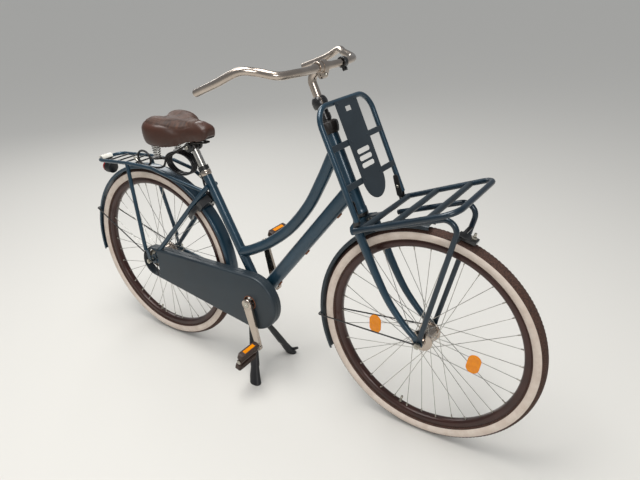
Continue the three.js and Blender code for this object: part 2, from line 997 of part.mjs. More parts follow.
// Wire stay: from an eyelet on the axle, round the outside of the mudguard and back to the other
const stayWire = 2.4;
const stayBend = 7;
const eyeletRadius = 9;
const eyeletThickness = 2;
const eyeletLength = 20;
function wireStay(centre, angle, eyeletY) {
  const over = mudguardRadius + fit + stayWire;
  const cornerY = mudguardHalfWidth + fit + 2 * stayWire;
  const corners = [
    [eyeletLength, -eyeletY],
    [over, -cornerY],
    [over, cornerY],
    [eyeletLength, eyeletY],
  ].map(([reach, y]) => atAngle(centre, reach, angle, y));
  const tail = atAngle(centre, eyeletLength, angle);
  const eyelets = [-1, 1].map((side) =>
    sidePlate(
      belt(v2(centre.x, centre.z), eyeletRadius, v2(tail.x, tail.z), stayWire, 4),
      side * (eyeletY - eyeletThickness / 2),
      side * (eyeletY + eyeletThickness / 2),
    ),
  );
  return cut(
    join(tube(new BentLine(corners, stayBend, 2), stayWire, 4), ...eyelets),
    crossRod(centre.x, centre.z, eyeletY + eyeletThickness, axleRadius + fit, 8),
  );
}

const frontGuardStartAngle = 66.5;
const frontGuardEndAngle = 181;
const frontStayAngle = 160.5;
const legTab = 3;
const legTabY = frontDropoutY + dropoutThickness / 2 + fit + legTab / 2;
const frontEyeletY = legTabY + legTab / 2 + fit + eyeletThickness / 2;
addPart("front_mudguard", mudguard(frontAxle, frontGuardStartAngle, frontGuardEndAngle, 12), slate, steering);
addPart("front_mudguard_stay", wireStay(frontAxle, frontStayAngle, frontEyeletY), black, steering);

const rearGuardStartAngle = chainBridgeAngle - 3;
const rearGuardEndAngle = 189;
const rearStayAngle = 158;
const rearEyeletY = rearDropoutY + dropoutThickness / 2 + fit + eyeletThickness / 2;
addPart("rear_mudguard", mudguard(rearAxle, rearGuardStartAngle, rearGuardEndAngle, 18), slate);
addPart("rear_mudguard_stay", wireStay(rearAxle, rearStayAngle, rearEyeletY), black);

// Axles: threaded rods with cones against the dropouts and nuts outside them
const nutHeight = 9;
const nutRadius = 10;
const coneRadius = 9;
const coneLength = 6;
const axleEnd = 3;
const frontNutY = frontEyeletY + eyeletThickness / 2 + fit;
const frontInnerY = frontDropoutY - dropoutThickness / 2 - fit;
function axle(x, z, innerY, cones, nuts) {
  const last = nuts.at(-1) + nutHeight + axleEnd;
  return join(
    crossRod(x, z, last, axleRadius, 8),
    ...[-1, 1].flatMap((side) => [
      rod(
        v3(x, side * (innerY - cones[side]), z),
        v3(x, side * innerY, z),
        coneRadius,
        6,
      ),
      ...nuts.map((y) => rod(v3(x, side * y, z), v3(x, side * (y + nutHeight), z), nutRadius, 6)),
    ]),
  );
}
addPart(
  "front_axle",
  axle(forkRake, 0, frontInnerY, { "-1": coneLength, 1: coneLength }, [frontNutY]),
  steel,
  steering,
);

// Front carrier: a platform of bent tube with three cross tubes, bolted to the crown
const platformRear = 62;
const platformTop = 405;
const platformDrop = 15;
const platformCorner = 45;
const crossTubeRadius = 8.5;
const crossTubeShares = [0.08, 0.4, 0.75];
const tongueHalf = 14;
const tongueThickness = 3;
const platformFront = platformRear + platformLength;
const platformAt = (share) => platformTop - share * platformDrop;
const platformLoop = new BentLine(
  [
    v3(platformRear, -platformHalfWidth, platformTop),
    v3(platformFront, -platformHalfWidth, platformAt(1)),
    v3(platformFront, platformHalfWidth, platformAt(1)),
    v3(platformRear, platformHalfWidth, platformTop),
  ],
  platformCorner,
  4,
);
const rearCrossX = platformRear + crossTubeShares[0] * platformLength;
const crownFront = crownHalfLength + fit;
addPart(
  "front_carrier_platform",
  join(
    tube(platformLoop, carrierTubeRadius, 6),
    ...crossTubeShares.map((share) =>
      crossRod(
        platformRear + share * platformLength,
        platformAt(share),
        platformHalfWidth,
        crossTubeRadius,
        6,
      ),
    ),
    block(
      crownFront,
      rearCrossX,
      -tongueHalf,
      tongueHalf,
      platformTop - tongueThickness,
      platformTop,
    ),
    block(
      crownFront,
      crownFront + tongueThickness,
      -tongueHalf,
      tongueHalf,
      crownTop - crownDepth / 2,
      platformTop,
    ),
  ),
  petrol,
  steering,
);

// Upright hoop behind the load, its flattened feet bolted inside the platform rails
const hoopForward = 75;
const hoopCorner = 55;
const hoopFoot = 425;
const footThickness = 4;
const footHalfLength = 10;
const footSetback = 9;
const hoopBarHeight = 17;
const hoopBarThickness = 8;
const hoopBarShares = [0.64, 0.29];
const footOuterY = platformHalfWidth - carrierTubeRadius - fit;
const hoopFront = hoopForward + carrierTubeRadius;
const hoopBars = hoopBarShares.map((share) => mix(hoopFoot, hoopHeight, share));
addPart(
  "front_carrier_upright",
  join(
    tube(
      new BentLine(
        [
          v3(hoopForward, -hoopHalfWidth, hoopFoot),
          v3(hoopForward, -hoopHalfWidth, hoopHeight),
          v3(hoopForward, hoopHalfWidth, hoopHeight),
          v3(hoopForward, hoopHalfWidth, hoopFoot),
        ],
        hoopCorner,
        4,
      ),
      carrierTubeRadius,
      6,
    ),
    ...hoopBars.map((z) =>
      block(
        hoopFront - hoopBarThickness,
        hoopFront,
        -hoopHalfWidth,
        hoopHalfWidth,
        z - hoopBarHeight / 2,
        z + hoopBarHeight / 2,
      ),
    ),
    ...[-1, 1].map((side) =>
      sidePlate(
        belt(
          v2(hoopForward - footSetback, platformTop),
          footHalfLength,
          v2(hoopForward, hoopFoot + footHalfLength),
          carrierTubeRadius,
        ),
        side * (footOuterY - footThickness),
        side * footOuterY,
      ),
    ),
  ),
  petrol,
  steering,
);

// Back plate on the hoop: a long tongue with a square window and three generic slots
const plateHalf = 57;
const plateBottom = 452;
const plateThickness = 1.5;
const windowHalf = 11;
const windowDrop = 28;
const slotHalfLength = 34;
const slotRadius = 7;
const slotShares = [0.28, 0.5, 0.72];
const plateX = hoopFront + fit;
const windowZ = hoopHeight - windowDrop;
const plateSlot = (z) =>
  belt(v2(-slotHalfLength + slotRadius, z), slotRadius, v2(slotHalfLength - slotRadius, z), slotRadius, 4);
addPart(
  "front_carrier_plate",
  facePlate(
    [
      ...arc(v2(0, plateBottom + plateHalf), plateHalf, PI, PI, 12),
      v2(plateHalf, hoopHeight),
      v2(-plateHalf, hoopHeight),
    ],
    plateX,
    plateX + plateThickness,
    [
      [
        v2(-windowHalf, windowZ - windowHalf),
        v2(windowHalf, windowZ - windowHalf),
        v2(windowHalf, windowZ + windowHalf),
        v2(-windowHalf, windowZ + windowHalf),
      ],
      ...slotShares.map((share) =>
        plateSlot(
          mix(hoopBars[1] + hoopBarHeight / 2, hoopBars[0] - hoopBarHeight / 2, share),
        ),
      ),
    ],
  ),
  slate,
  steering,
);

// Carrier legs: under the platform, round the front and straight down to the axle, with the
// bridge over the tyre and its lamp bracket
const legY = 71;
const legFront = 325;
const legFrontTop = 352;
const legBend = 32;
const legEnd = 26;
const legEndY = 59;
const legEndX = 84;
const legTabRadius = 10;
const bridgeShare = 0.06;
const bridgeHalf = 12;
const bridgeThickness = 3;
const lampReach = 44;
const lampRise = 8;
const lampHalf = 14;
const lampBoltRadius = 5;
const legStart = platformAt(crossTubeShares[0]) - crossTubeRadius - fit - carrierTubeRadius;
const legTop = v3(legFront, 0, legFrontTop);
const legFoot = v3(legEndX, 0, legEnd);
const legDown = legFoot.clone().sub(legTop).normalize();
const legAcross = v3(-legDown.z, 0, legDown.x);
const legBridge = legTop.clone().lerp(legFoot, bridgeShare + legBend / legTop.distanceTo(legFoot));
const onBridge = (down, across) => {
  const p = legBridge.clone().addScaledVector(legDown, down).addScaledVector(legAcross, across);
  return v2(p.x, p.z);
};
const bridgePlate = sidePlate(
  [
    onBridge(-bridgeHalf, 0),
    onBridge(bridgeHalf, 0),
    onBridge(bridgeHalf, bridgeThickness),
    onBridge(-bridgeHalf, bridgeThickness),
  ],
  -legY,
  legY,
);
const lampEnd = onBridge(-lampRise, lampReach);
const lampTongue = sidePlate(
  [
    onBridge(0, bridgeThickness),
    onBridge(bridgeThickness, bridgeThickness),
    lampEnd,
    v2(lampEnd.x, lampEnd.y + bridgeThickness),
  ],
  -lampHalf,
  lampHalf,
);
function carrierLeg(side) {
  const y = side * legY;
  const path = new BentLine(
    [
      v3(rearCrossX - carrierTubeRadius, y, legStart),
      v3(legFront, y, legFrontTop + 2 * overrun),
      v3(legEndX, side * legEndY, legEnd),
    ],
    legBend,
    4,
  );
  return join(
    tube(path, carrierTubeRadius, 6),
    sidePlate(
      belt(v2(legEndX, legEnd), carrierTubeRadius, v2(forkRake, 0), legTabRadius),
      side * (legTabY - legTab / 2),
      side * (legTabY + legTab / 2),
    ),
  );
}
addPart(
  "front_carrier_legs",
  cut(
    join(
      carrierLeg(-1),
      carrierLeg(1),
      bridgePlate,
      lampTongue,
      rod(
        v3(lampEnd.x - lampBoltRadius, 0, lampEnd.y - bridgeThickness),
        v3(lampEnd.x - lampBoltRadius, 0, lampEnd.y + 2 * lampBoltRadius),
        lampBoltRadius,
        6,
      ),
    ),
    crossRod(forkRake, 0, legTabY + legTab, axleRadius + fit, 8),
  ),
  petrol,
  steering,
);

// Wheels: tyre, box-section rim with hooked walls, and a hub that carries its crossed spokes
const wheelSteps = 28;
const rimLip = 6;
const rimWall = 2.4;
const rimWell = 10;
const rimTaper = 7;
const rimInnerHalf = 8;
const beadGap = 0.5;
const spokeLeadAngle = 60;
const nippleY = 3;
const spokeWeave = 1.3;
const valveLength = 26;
const valveRadius = 3;
const valveAngle = 255;
const rimTop = beadRadius + rimLip;
const rimInner = rimTop - rimDepth;
const wellRadius = rimTop - rimWell;
// Height from the well to the tread, and share of the tyre's half width
const tyreShares = [
  [1, 0.2],
  [0.84, 0.78],
  [0.56, 1],
  [0.21, 0.51],
  [0, 0.51],
];
const tyreProfile = mirrored(
  tyreShares.map(([up, wide]) => [
    mix(wellRadius + beadGap, tyreRadius, up),
    min((wide * tyreWidth) / 2, up < 1 / 4 ? rimWidth / 2 - rimWall - beadGap : tyreWidth),
  ]),
);
const rimProfile = mirrored([
  [wellRadius, rimWidth / 2 - rimWall],
  [rimTop, rimWidth / 2 - rimWall],
  [rimTop, rimWidth / 2],
  [rimInner + rimTaper, rimWidth / 2],
  [rimInner, rimInnerHalf],
]);
function spokes(flangeY, flangeRadius) {
  const spacing = 360 / spokesPerFlange;
  const end = rimInner * cos(PI / wheelSteps) - fit;
  return [-1, 1].flatMap((side) =>
    Array.from({ length: spokesPerFlange }, (_, i) => {
      const angle = (i + (side > 0 ? 1 / 2 : 0)) * spacing;
      const lead = i % 2 ? -spokeLeadAngle : spokeLeadAngle;
      const weave = i % 2 ? -spokeWeave : spokeWeave;
      return rod(
        atAngle(v3(), flangeRadius, angle + lead, side * (flangeY + weave)),
        atAngle(v3(), end, angle, side * (nippleY + weave)),
        spokeRadius,
        3,
      );
    }),
  );
}
function addWheel(name, group, hubProfile, flangeY, holeRadius) {
  addPart(`${name}_hub`, join(turned(hubProfile, 12), ...spokes(flangeY, holeRadius)), silver, group);
  const valve = rod(
    atAngle(v3(), rimInner + rimTaper, valveAngle),
    atAngle(v3(), rimInner - valveLength, valveAngle),
    valveRadius,
    6,
  );
  addPart(`${name}_rim`, join(turned(rimProfile, wheelSteps), valve), brown, group);
  addPart(`${name}_tyre`, turned(tyreProfile, wheelSteps), cream, group);
}
const hubBore = axleRadius + 2 * beadGap;
const flangeRadius = 34;
const flangeY = 30;
const flangeHalf = 2.5;
const spokeCircle = 30;
const shellRadius = 28;
const capRadius = 15;
const frontCapY = frontInnerY - coneLength - runningFit;
const frontWheel = addGroup(steering, forkRake, 0, 0, -headTiltAngle);
addWheel(
  "front",
  frontWheel,
  mirrored([
    [shellRadius, flangeY - flangeHalf],
    [flangeRadius, flangeY - flangeHalf],
    [flangeRadius, flangeY + flangeHalf],
    [capRadius, mix(flangeY, frontCapY, 1 / 2)],
    [capRadius, frontCapY],
    [hubBore, frontCapY],
  ]),
  flangeY,
  spokeCircle,
);

// Spoke reflectors: two amber plates on opposite sides of the front wheel, outside the spokes
const reflectorReach = 163;
const reflectorHalf = 12;
const reflectorRadius = 20;
const reflectorThickness = 5;
const reflectorY = 19;
const reflectorAngles = { front: -11, rear: 180 };
for (const [name, angle] of Object.entries(reflectorAngles)) {
  const middle = atAngle(v3(), reflectorReach, angle);
  const lengthwise = atAngle(v3(), reflectorHalf, angle + 90);
  addPart(
    `${name}_spoke_reflector`,
    sidePlate(
      belt(
        v2(middle.x - lengthwise.x, middle.z - lengthwise.z),
        reflectorRadius,
        v2(middle.x + lengthwise.x, middle.z + lengthwise.z),
        reflectorRadius,
      ),
      -reflectorY,
      -reflectorY - reflectorThickness,
    ),
    amber,
    frontWheel,
  );
}

const freewheelInner = 38;
const freewheelOuter = 51;
const leftCone = 14;
const rearInnerY = rearDropoutY - dropoutThickness / 2 - fit;
const rearCapY = rearInnerY - leftCone - runningFit;
const rearWheel = addGroup(bike, 0, 0, tyreRadius);
addWheel(
  "rear",
  rearWheel,
  [
    [hubBore, runningFit - freewheelInner],
    [capRadius, runningFit - freewheelInner],
    [flangeRadius, -flangeY - flangeHalf],
    [flangeRadius, flangeHalf - flangeY],
    [shellRadius, flangeHalf - flangeY],
    [shellRadius, flangeY - flangeHalf],
    [flangeRadius, flangeY - flangeHalf],
    [flangeRadius, flangeY + flangeHalf],
    [shellRadius, mix(flangeY, rearCapY, 3 / 4)],
    [capRadius, rearCapY],
    [hubBore, rearCapY],
  ],
  flangeY,
  spokeCircle,
);
const legPlate = 3;
const rearNutY = rearEyeletY + eyeletThickness / 2 + fit;
const legPlateY = rearNutY + nutHeight + fit;
addPart(
  "rear_axle",
  axle(0, tyreRadius, rearInnerY, { "-1": rearInnerY - freewheelOuter - runningFit, 1: leftCone }, [
    rearNutY,
    legPlateY + legPlate + fit,
  ]),
  steel,
);

// Drive: toothed wheels, the chain round them, the spindle and the two cranks
const toothRoot = 4;
const toothTip = 2.6;
const spiderRadius = 18;
const ringInner = 58;
const ringArms = 5;
const armHalfAngle = 9;
function toothedDisc(teeth, holes = []) {
  const radius = pitchRadius(teeth);
  const outline = Array.from({ length: 2 * teeth }, (_, i) =>
    v2(radius + (i % 2 ? toothTip : -toothRoot), 0).rotateAround(v2(), (PI * i) / teeth),
  );
  return sidePlate(
    outline,
    -chainLine - toothThickness / 2,
    toothThickness / 2 - chainLine,
    holes,
  );
}
const ringWindow = (i) => {
  const start = rad((360 / ringArms) * i + armHalfAngle);
  const sweep = rad(360 / ringArms - 2 * armHalfAngle);
  return [
    ...arc(v2(), ringInner, start, sweep, 4),
    ...arc(v2(), spiderRadius, start + sweep, -sweep, 3),
  ];
};
const freewheelRadius = 17;
const sprocketGroup = addGroup(bike, 0, 0, tyreRadius);
addPart(
  "sprocket",
  cut(
    join(
      toothedDisc(sprocketTeeth),
      rod(v3(0, -freewheelInner, 0), v3(0, -freewheelOuter, 0), freewheelRadius, 16),
    ),
    crossRod(0, 0, freewheelOuter + overrun, hubBore, 12),
  ),
  steel,
  sprocketGroup,
);
const crank = addGroup(bike, crankForward, 0, crankHeight, crankLeanAngle);
addPart(
  "chainring",
  cut(
    toothedDisc(chainringTeeth, Array.from({ length: ringArms }, (_, i) => ringWindow(i))),
    crossRod(0, 0, chainLine + overrun, spindleRadius + fit, 16),
  ),
  steel,
  crank,
);

const chainSteps = 12;
const chainHalfWidth = 3.9;
const chainHalfHeight = 4.2;
const chainGroove = 1.9;
const chainWeb = 0.8;
const chainOutline = [
  [-chainHalfWidth, -chainHalfHeight],
  [-chainGroove, -chainHalfHeight],
  [-chainGroove, chainHalfHeight - chainWeb],
  [chainGroove, chainHalfHeight - chainWeb],
  [chainGroove, -chainHalfHeight],
  [chainHalfWidth, -chainHalfHeight],
  [chainHalfWidth, chainHalfHeight],
  [-chainHalfWidth, chainHalfHeight],
].map(([across, up]) => v2(across, up));
const crankAt = v2(crankForward, crankHeight);
const axleAt = v2(0, tyreRadius);
const unitBelt = (radiusOffset) =>
  belt(
    crankAt,
    pitchRadius(chainringTeeth) / cos(PI / (2 * chainSteps)) + radiusOffset,
    axleAt,
    pitchRadius(sprocketTeeth) / cos(PI / (2 * chainSteps)) + radiusOffset,
    chainSteps,
  );
const chainOuter = unitBelt(1);
addPart(
  "chain",
  closedLoop(
    unitBelt(0).map((p, i) => ({
      at: v3(p.x, -chainLine, p.y),
      across: v3(0, 1, 0),
      up: v3(chainOuter[i].x - p.x, 0, chainOuter[i].y - p.y),
      outline: chainOutline,
    })),
  ),
  steel,
);

const squareHalf = 6.3;
const crankInnerY = 77;
const crankThickness = 14;
const crankWaist = 11;
const crankHubRadius = 17;
const crankEyeRadius = 12.5;
const crankNarrow = 1.5;
const crankOuterY = crankInnerY + crankThickness;
const pedalAxleRadius = 6.3;
const pedalAxleEnd = 4.6;
const pedalHalf = 47;
const pedalGap = 12;
const pedalY = crankOuterY + pedalGap + pedalHalf;
addPart(
  "crank_spindle",
  join(
    crossRod(0, 0, crankInnerY - 2 * overrun, spindleRadius, 16),
    ...[-1, 1].map((side) =>
      block(
        -squareHalf,
        squareHalf,
        side * (crankInnerY - 3 * overrun),
        side * crankOuterY,
        -squareHalf,
        squareHalf,
      ),
    ),
  ),
  steel,
  crank,
);
const squareCutter = block(
  -squareHalf - fit,
  squareHalf + fit,
  -crankOuterY - overrun,
  crankOuterY + overrun,
  -squareHalf - fit,
  squareHalf + fit,
);
function crankArm(side) {
  const eye = v2(0, side * crankLength);
  const middleY = side * (crankInnerY + crankThickness / 2);
  return cut(
    join(
      sidePlate(
        belt(v2(), crankHubRadius - crankNarrow, eye, crankEyeRadius - crankNarrow),
        middleY - crankWaist / 2,
        middleY + crankWaist / 2,
      ),
      rod(v3(0, side * crankInnerY, 0), v3(0, side * crankOuterY, 0), crankHubRadius, 18),
      rod(
        v3(0, side * (crankInnerY + crankNarrow), eye.y),
        v3(0, side * crankOuterY, eye.y),
        crankEyeRadius,
        16,
      ),
      rod(
        v3(0, side * crankOuterY - side * crankNarrow, eye.y),
        v3(0, side * (pedalY + pedalHalf - overrun), eye.y),
        pedalAxleRadius,
        12,
        pedalAxleEnd,
      ),
    ),
    squareCutter,
  );
}

// Pedal: a barrel between two ribbed blocks, tied together by an end plate at each end
const pedalBlockX = 12;
const pedalBlockDepth = 24;
const pedalBlockHalf = 12;
const pedalRib = 2;
const pedalRibs = 3;
const barrelRadius = 9.5;
const pedalPlate = 4;
function pedalBlock(side) {
  const top = Array.from({ length: 2 * pedalRibs + 1 }, (_, i) =>
    v2(
      side * mix(pedalBlockX, pedalBlockX + pedalBlockDepth, i / (2 * pedalRibs)),
      pedalBlockHalf - (i % 2 ? pedalRib : 0),
    ),
  );
  return sidePlate([...top, ...top.map((p) => v2(p.x, -p.y)).reverse()], -pedalHalf, pedalHalf);
}
const pedalBody = cut(
  join(
    pedalBlock(1),
    pedalBlock(-1),
    crossRod(0, 0, pedalHalf, barrelRadius, 14),
    ...[-1, 1].map((side) =>
      sidePlate(
        belt(v2(-2 * pedalBlockX, 0), barrelRadius, v2(2 * pedalBlockX, 0), barrelRadius, 4),
        side * pedalHalf,
        side * (pedalHalf - pedalPlate),
      ),
    ),
  ),
  crossRod(0, 0, pedalHalf + overrun, pedalAxleRadius + runningFit, 12),
);
for (const [name, side] of Object.entries(sides)) {
  addPart(`crank_arm_${name}`, crankArm(side), silver, crank);
  const pedal = addGroup(crank, 0, side * pedalY, side * crankLength, pedalLeanAngle - crankLeanAngle);
  addPart(`pedal_${name}`, pedalBody.clone(), brown, pedal);
}

// Chain case: a tapered tray round the chain, bevelled at its face and open round the rear hub
const caseFrontRadius = 109;
const caseRearRadius = 63;
const caseFrontShift = 5;
const caseRearShift = 8;
const caseInnerY = 34;
const caseOuterY = 71.5;
const caseWall = 2;
const caseBevel = 6;
const caseCrankHole = 25;
const caseOpening = 57;
const caseOpeningAngle = 60;
const caseScrewHole = 3;
const caseScrewShare = 0.2;
const caseFront = v2(crankForward + caseFrontShift, crankHeight);
const caseRear = v2(caseRearShift, tyreRadius - caseRearShift);
const caseOutline = (inset) =>
  belt(caseFront, caseFrontRadius - inset, caseRear, caseRearRadius - inset, 8);
// Depth from the inner edge to the face, and inset as a share of the bevel
const caseShares = [
  [0, 0],
  [0.84, 0],
  [0.95, 0.3],
  [1, 1],
];
const trayAt = (y, inset) => ({
  at: v3(0, -y, 0),
  across: v3(1, 0, 0),
  up: v3(0, 0, 1),
  outline: caseOutline(inset),
});
const caseSolid = loft(
  caseShares.map(([deep, bevel]) =>
    trayAt(mix(caseInnerY, caseOuterY, deep), bevel * caseBevel),
  ),
);
const caseHollow = loft([
  trayAt(caseInnerY - overrun, caseWall),
  ...caseShares
    .slice(1)
    .map(([deep, bevel]) =>
      trayAt(mix(caseInnerY, caseOuterY - caseWall, deep), bevel * caseBevel + caseWall),
    ),
]);
const innerPanel = sidePlate(
  arc(caseFront, caseFrontRadius - caseWall / 2, -PI / 2, PI, 8),
  -caseInnerY,
  -caseInnerY - caseWall,
);
// Room for the mudguard's wire stay, which crosses the inner edge of the case
function wireStayRoom() {
  const y = rearEyeletY;
  const way = (reach) => atAngle(rearAxle, reach, rearStayAngle);
  return rod(
    way(eyeletLength).setY(-y),
    way(2 * caseRearRadius).setY(mix(-y, -mudguardHalfWidth, (2 * caseRearRadius) / mudguardRadius)),
    2 * stayWire,
    8,
  );
}
const screwAt = caseRear.clone().lerp(caseFront, caseScrewShare);
addPart(
  "chain_case",
  cut(
    join(cut(caseSolid, caseHollow), innerPanel),
    crossRod(crankForward, crankHeight, crankShellHalf, crankShellRadius + fit, 16),
    rod(
      v3(crankForward, -caseInnerY - 2 * overrun, crankHeight),
      v3(crankForward, -caseOuterY - overrun, crankHeight),
      caseCrankHole,
      16,
    ),
    sidePlate(
      arc(caseRear, caseOpening, rad(caseOpeningAngle), 2 * (PI - rad(caseOpeningAngle)), 10),
      -chainLine,
      -caseOuterY - overrun,
    ),
    rod(
      v3(screwAt.x, -chainLine, screwAt.y - caseRearShift),
      v3(screwAt.x, -caseOuterY - overrun, screwAt.y - caseRearShift),
      caseScrewHole,
      8,
    ),
    seatStay(-1, seatStayRadius + overrun),
    wireStayRoom(),
  ),
  slate,
);

// Rear carrier: a bent tube loop with thin cross rods, on two legs that bolt to the axle
const rearTubeRadius = 7;
const rearLegRadius = 7.5;
const rearLoopBend = 30;
const rearLoopEnd = 246;
const rearLoopDrop = 14;
const frontSlopeForward = 150;
const frontSlopeDrop = 18;
const frontFlat = 60;
const frontEndShare = 0.893;
const crossRodRadius = 3;
const crossRodShares = [0.77, 0.57, 0.366, 0.163];
const legTopBack = 70;
const legKneeBack = 12;
const legKnee = 46;
const frontMount = seatStayCurve(1).getPoint(frontEndShare);
const loopHeight = (x) =>
  x > -frontFlat
    ? rearCarrierHeight
    : mix(rearCarrierHeight, rearCarrierHeight - rearLoopDrop, (-x - frontFlat) / (rearLoopEnd - frontFlat));
const loopSide = (side) => [
  v3(frontMount.x, side * frontMount.y, frontMount.z),
  v3(frontSlopeForward, side * rearCarrierHalfWidth, rearCarrierHeight - frontSlopeDrop),
  v3(frontFlat, side * rearCarrierHalfWidth, rearCarrierHeight),
  v3(-frontFlat, side * rearCarrierHalfWidth, rearCarrierHeight),
  v3(-rearLoopEnd, side * rearCarrierHalfWidth, loopHeight(-rearLoopEnd)),
];
const kneeY = legPlateY + rearLegRadius - legPlate / 2;
function rearLeg(side) {
  const knee = v3(-legKneeBack, side * kneeY, tyreRadius + legKnee);
  return join(
    rod(
      v3(-legTopBack, side * rearCarrierHalfWidth, loopHeight(-legTopBack)),
      knee,
      rearLegRadius,
      6,
    ),
    sidePlate(
      belt(v2(0, tyreRadius), eyeletRadius, v2(knee.x, knee.z), rearLegRadius, 4),
      side * legPlateY,
      side * (legPlateY + legPlate),
    ),
  );
}
addPart(
  "rear_carrier",
  cut(
    join(
      tube(new BentLine([...loopSide(-1), ...loopSide(1).reverse()], rearLoopBend, 2), rearTubeRadius, 6),
      ...crossRodShares.map((share) =>
        crossRod(
          -share * rearLoopEnd,
          loopHeight(-share * rearLoopEnd),
          rearCarrierHalfWidth,
          crossRodRadius,
          5,
        ),
      ),
      rearLeg(-1),
      rearLeg(1),
    ),
    crossRod(0, tyreRadius, legPlateY + 2 * legPlate, axleRadius + fit, 8),
    seatStay(-1, seatStayRadius + fit),
    seatStay(1, seatStayRadius + fit),
  ),
  petrol,
);

// Rear light under the end of the carrier, and the white cap clipped over the carrier's end
const lightRadius = 28;
const lightDepth = 30;
const lensRadius = 25;
const lensDepth = 20;
const lightDrop = 12;
const bracketHalf = 8;
const capHalf = 27;
const capWall = 6;
const endBar = loopHeight(-rearLoopEnd);
const lightZ = endBar - rearTubeRadius - lightDrop - lightRadius;
const light = addGroup(bike, -rearLoopEnd, 0, lightZ);
addPart(
  "rear_light_housing",
  join(
    turnedBack(
      [
        [0, -lightDepth / 2],
        [lightRadius, -lightDepth / 2],
        [lightRadius, lightDepth / 2],
        [0, lightDepth / 2],
      ],
      16,
    ),
    block(
      -bracketHalf,
      bracketHalf,
      -bracketHalf,
      bracketHalf,
      lightRadius / 2,
      lightRadius + lightDrop - fit,
    ),
  ),
  black,
  light,
);
// Depth of the domed lens, and share of its radius
const lensShares = [
  [0, 1],
  [0.5, 0.94],
  [0.85, 0.66],
  [1, 0],
];
addPart(
  "rear_light_lens",
  turnedBack(
    [
      [0, lightDepth / 2 + fit],
      ...lensShares.map(([deep, wide]) => [wide * lensRadius, lightDepth / 2 + fit + deep * lensDepth]),
    ],
    16,
  ),
  red,
  light,
);
addPart(
  "rear_light_cap",
  sidePlate(
    [
      ...arc(v2(-rearLoopEnd, endBar), rearTubeRadius + fit + capWall, 0, PI, 8),
      ...arc(v2(-rearLoopEnd, endBar), rearTubeRadius + runningFit, PI, -PI, 8),
    ],
    -capHalf,
    capHalf,
  ),
  white,
);

// Seat post with its black ring, and the slotted clamp round the mouth of the seat tube
const postInside = 150;
const ringRise = 20;
const ringHeight = 10;
const ringAt = seatTubeLength + ringRise;
const ringWall = 4.5;
const seatClampHeight = 20;
const seatClampWall = 4;
const seatEar = 14;
const seatEarHalf = 7;
addPart(
  "seat_clamp",
  cut(
    join(
      rod(
        v3(0, 0, seatTubeLength - seatClampHeight),
        v3(0, 0, seatTubeLength),
        seatTubeRadius + fit + seatClampWall,
        16,
      ),
      block(
        -seatTubeRadius - seatEar,
        0,
        -seatEarHalf,
        seatEarHalf,
        seatTubeLength - seatClampHeight + seatClampWall,
        seatTubeLength - seatClampWall,
      ),
    ),
    rod(
      v3(0, 0, seatTubeLength - seatClampHeight - overrun),
      v3(0, 0, seatTubeLength + overrun),
      seatTubeRadius + fit,
      16,
    ),
    block(
      -seatTubeRadius - seatEar - overrun,
      -seatTubeRadius + overrun,
      -slotWidth / 2,
      slotWidth / 2,
      seatTubeLength - seatClampHeight - overrun,
      seatTubeLength + overrun,
    ),
  ),
  silver,
  seatFrame,
);
const saddleGroup = addGroup(bike, crankForward, 0, crankHeight, seatTiltAngle);
addPart(
  "seat_post",
  rod(v3(0, 0, seatTubeLength - postInside), v3(0, 0, seatPostLength), seatPostRadius, 16),
  silver,
  saddleGroup,
);
addPart(
  "seat_post_ring",
  turnedUp(
    [
      [seatPostRadius + fit, ringAt - ringHeight / 2],
      [seatPostRadius + ringWall, ringAt - ringHeight / 2],
      [seatPostRadius + ringWall, ringAt + ringHeight / 2],
      [seatPostRadius + fit, ringAt + ringHeight / 2],
    ],
    16,
  ),
  black,
  saddleGroup,
);

// Saddle: wide at the back with two raised lobes and a channel between them, drawn in below
const saddleRear = 62;
const channelDepth = 9;
const channelHalf = 16;
const saddleCorners = 18;
// Place along the saddle, half width, top and underside, as shares of its length, width and depth
const saddleShares = [
  [0, 0.34, 0.68, 0.3],
  [0.03, 0.62, 0.82, 0.12],
  [0.08, 0.83, 0.92, 0],
  [0.16, 0.96, 0.985, 0],
  [0.26, 1, 1, 0],
  [0.37, 0.95, 0.985, 0],
  [0.48, 0.8, 0.94, 0],
  [0.58, 0.61, 0.87, 0.02],
  [0.68, 0.44, 0.79, 0.06],
  [0.78, 0.33, 0.72, 0.1],
  [0.88, 0.28, 0.66, 0.12],
  [0.95, 0.23, 0.6, 0.15],
  [0.99, 0.13, 0.5, 0.22],
];
const lobeShare = 0.55;
function saddleSection([along, wide, top, under]) {
  const half = wide * saddleHalfWidth;
  const low = saddleUnder + under * saddleDepth;
  const high = saddleUnder + top * saddleDepth;
  const waist = mix(low, high, 0.42);
  const groove = along < lobeShare ? channelDepth * sin((PI * along) / lobeShare) ** (1 / 2) : 0;
  return circle(1, saddleCorners).map(({ x, y }) => {
    const across = half * sign(x) * abs(x) ** 0.85;
    const crown = (high - waist) * max(y, 0) ** 0.62;
    const belly = (waist - low) * max(-y, 0) ** 0.45;
    const dip = y > 0 ? groove * max(0, 1 - abs(across) / channelHalf) : 0;
    return v2(across, waist + crown - belly - dip);
  });
}
addPart(
  "saddle",
  loft(
    saddleShares.map((row) => ({
      at: v3(saddleRear + row[0] * saddleLength, 0, 0),
      across: v3(0, 1, 0),
      up: v3(0, 0, 1),
      outline: saddleSection(row),
    })),
  ),
  leather,
);

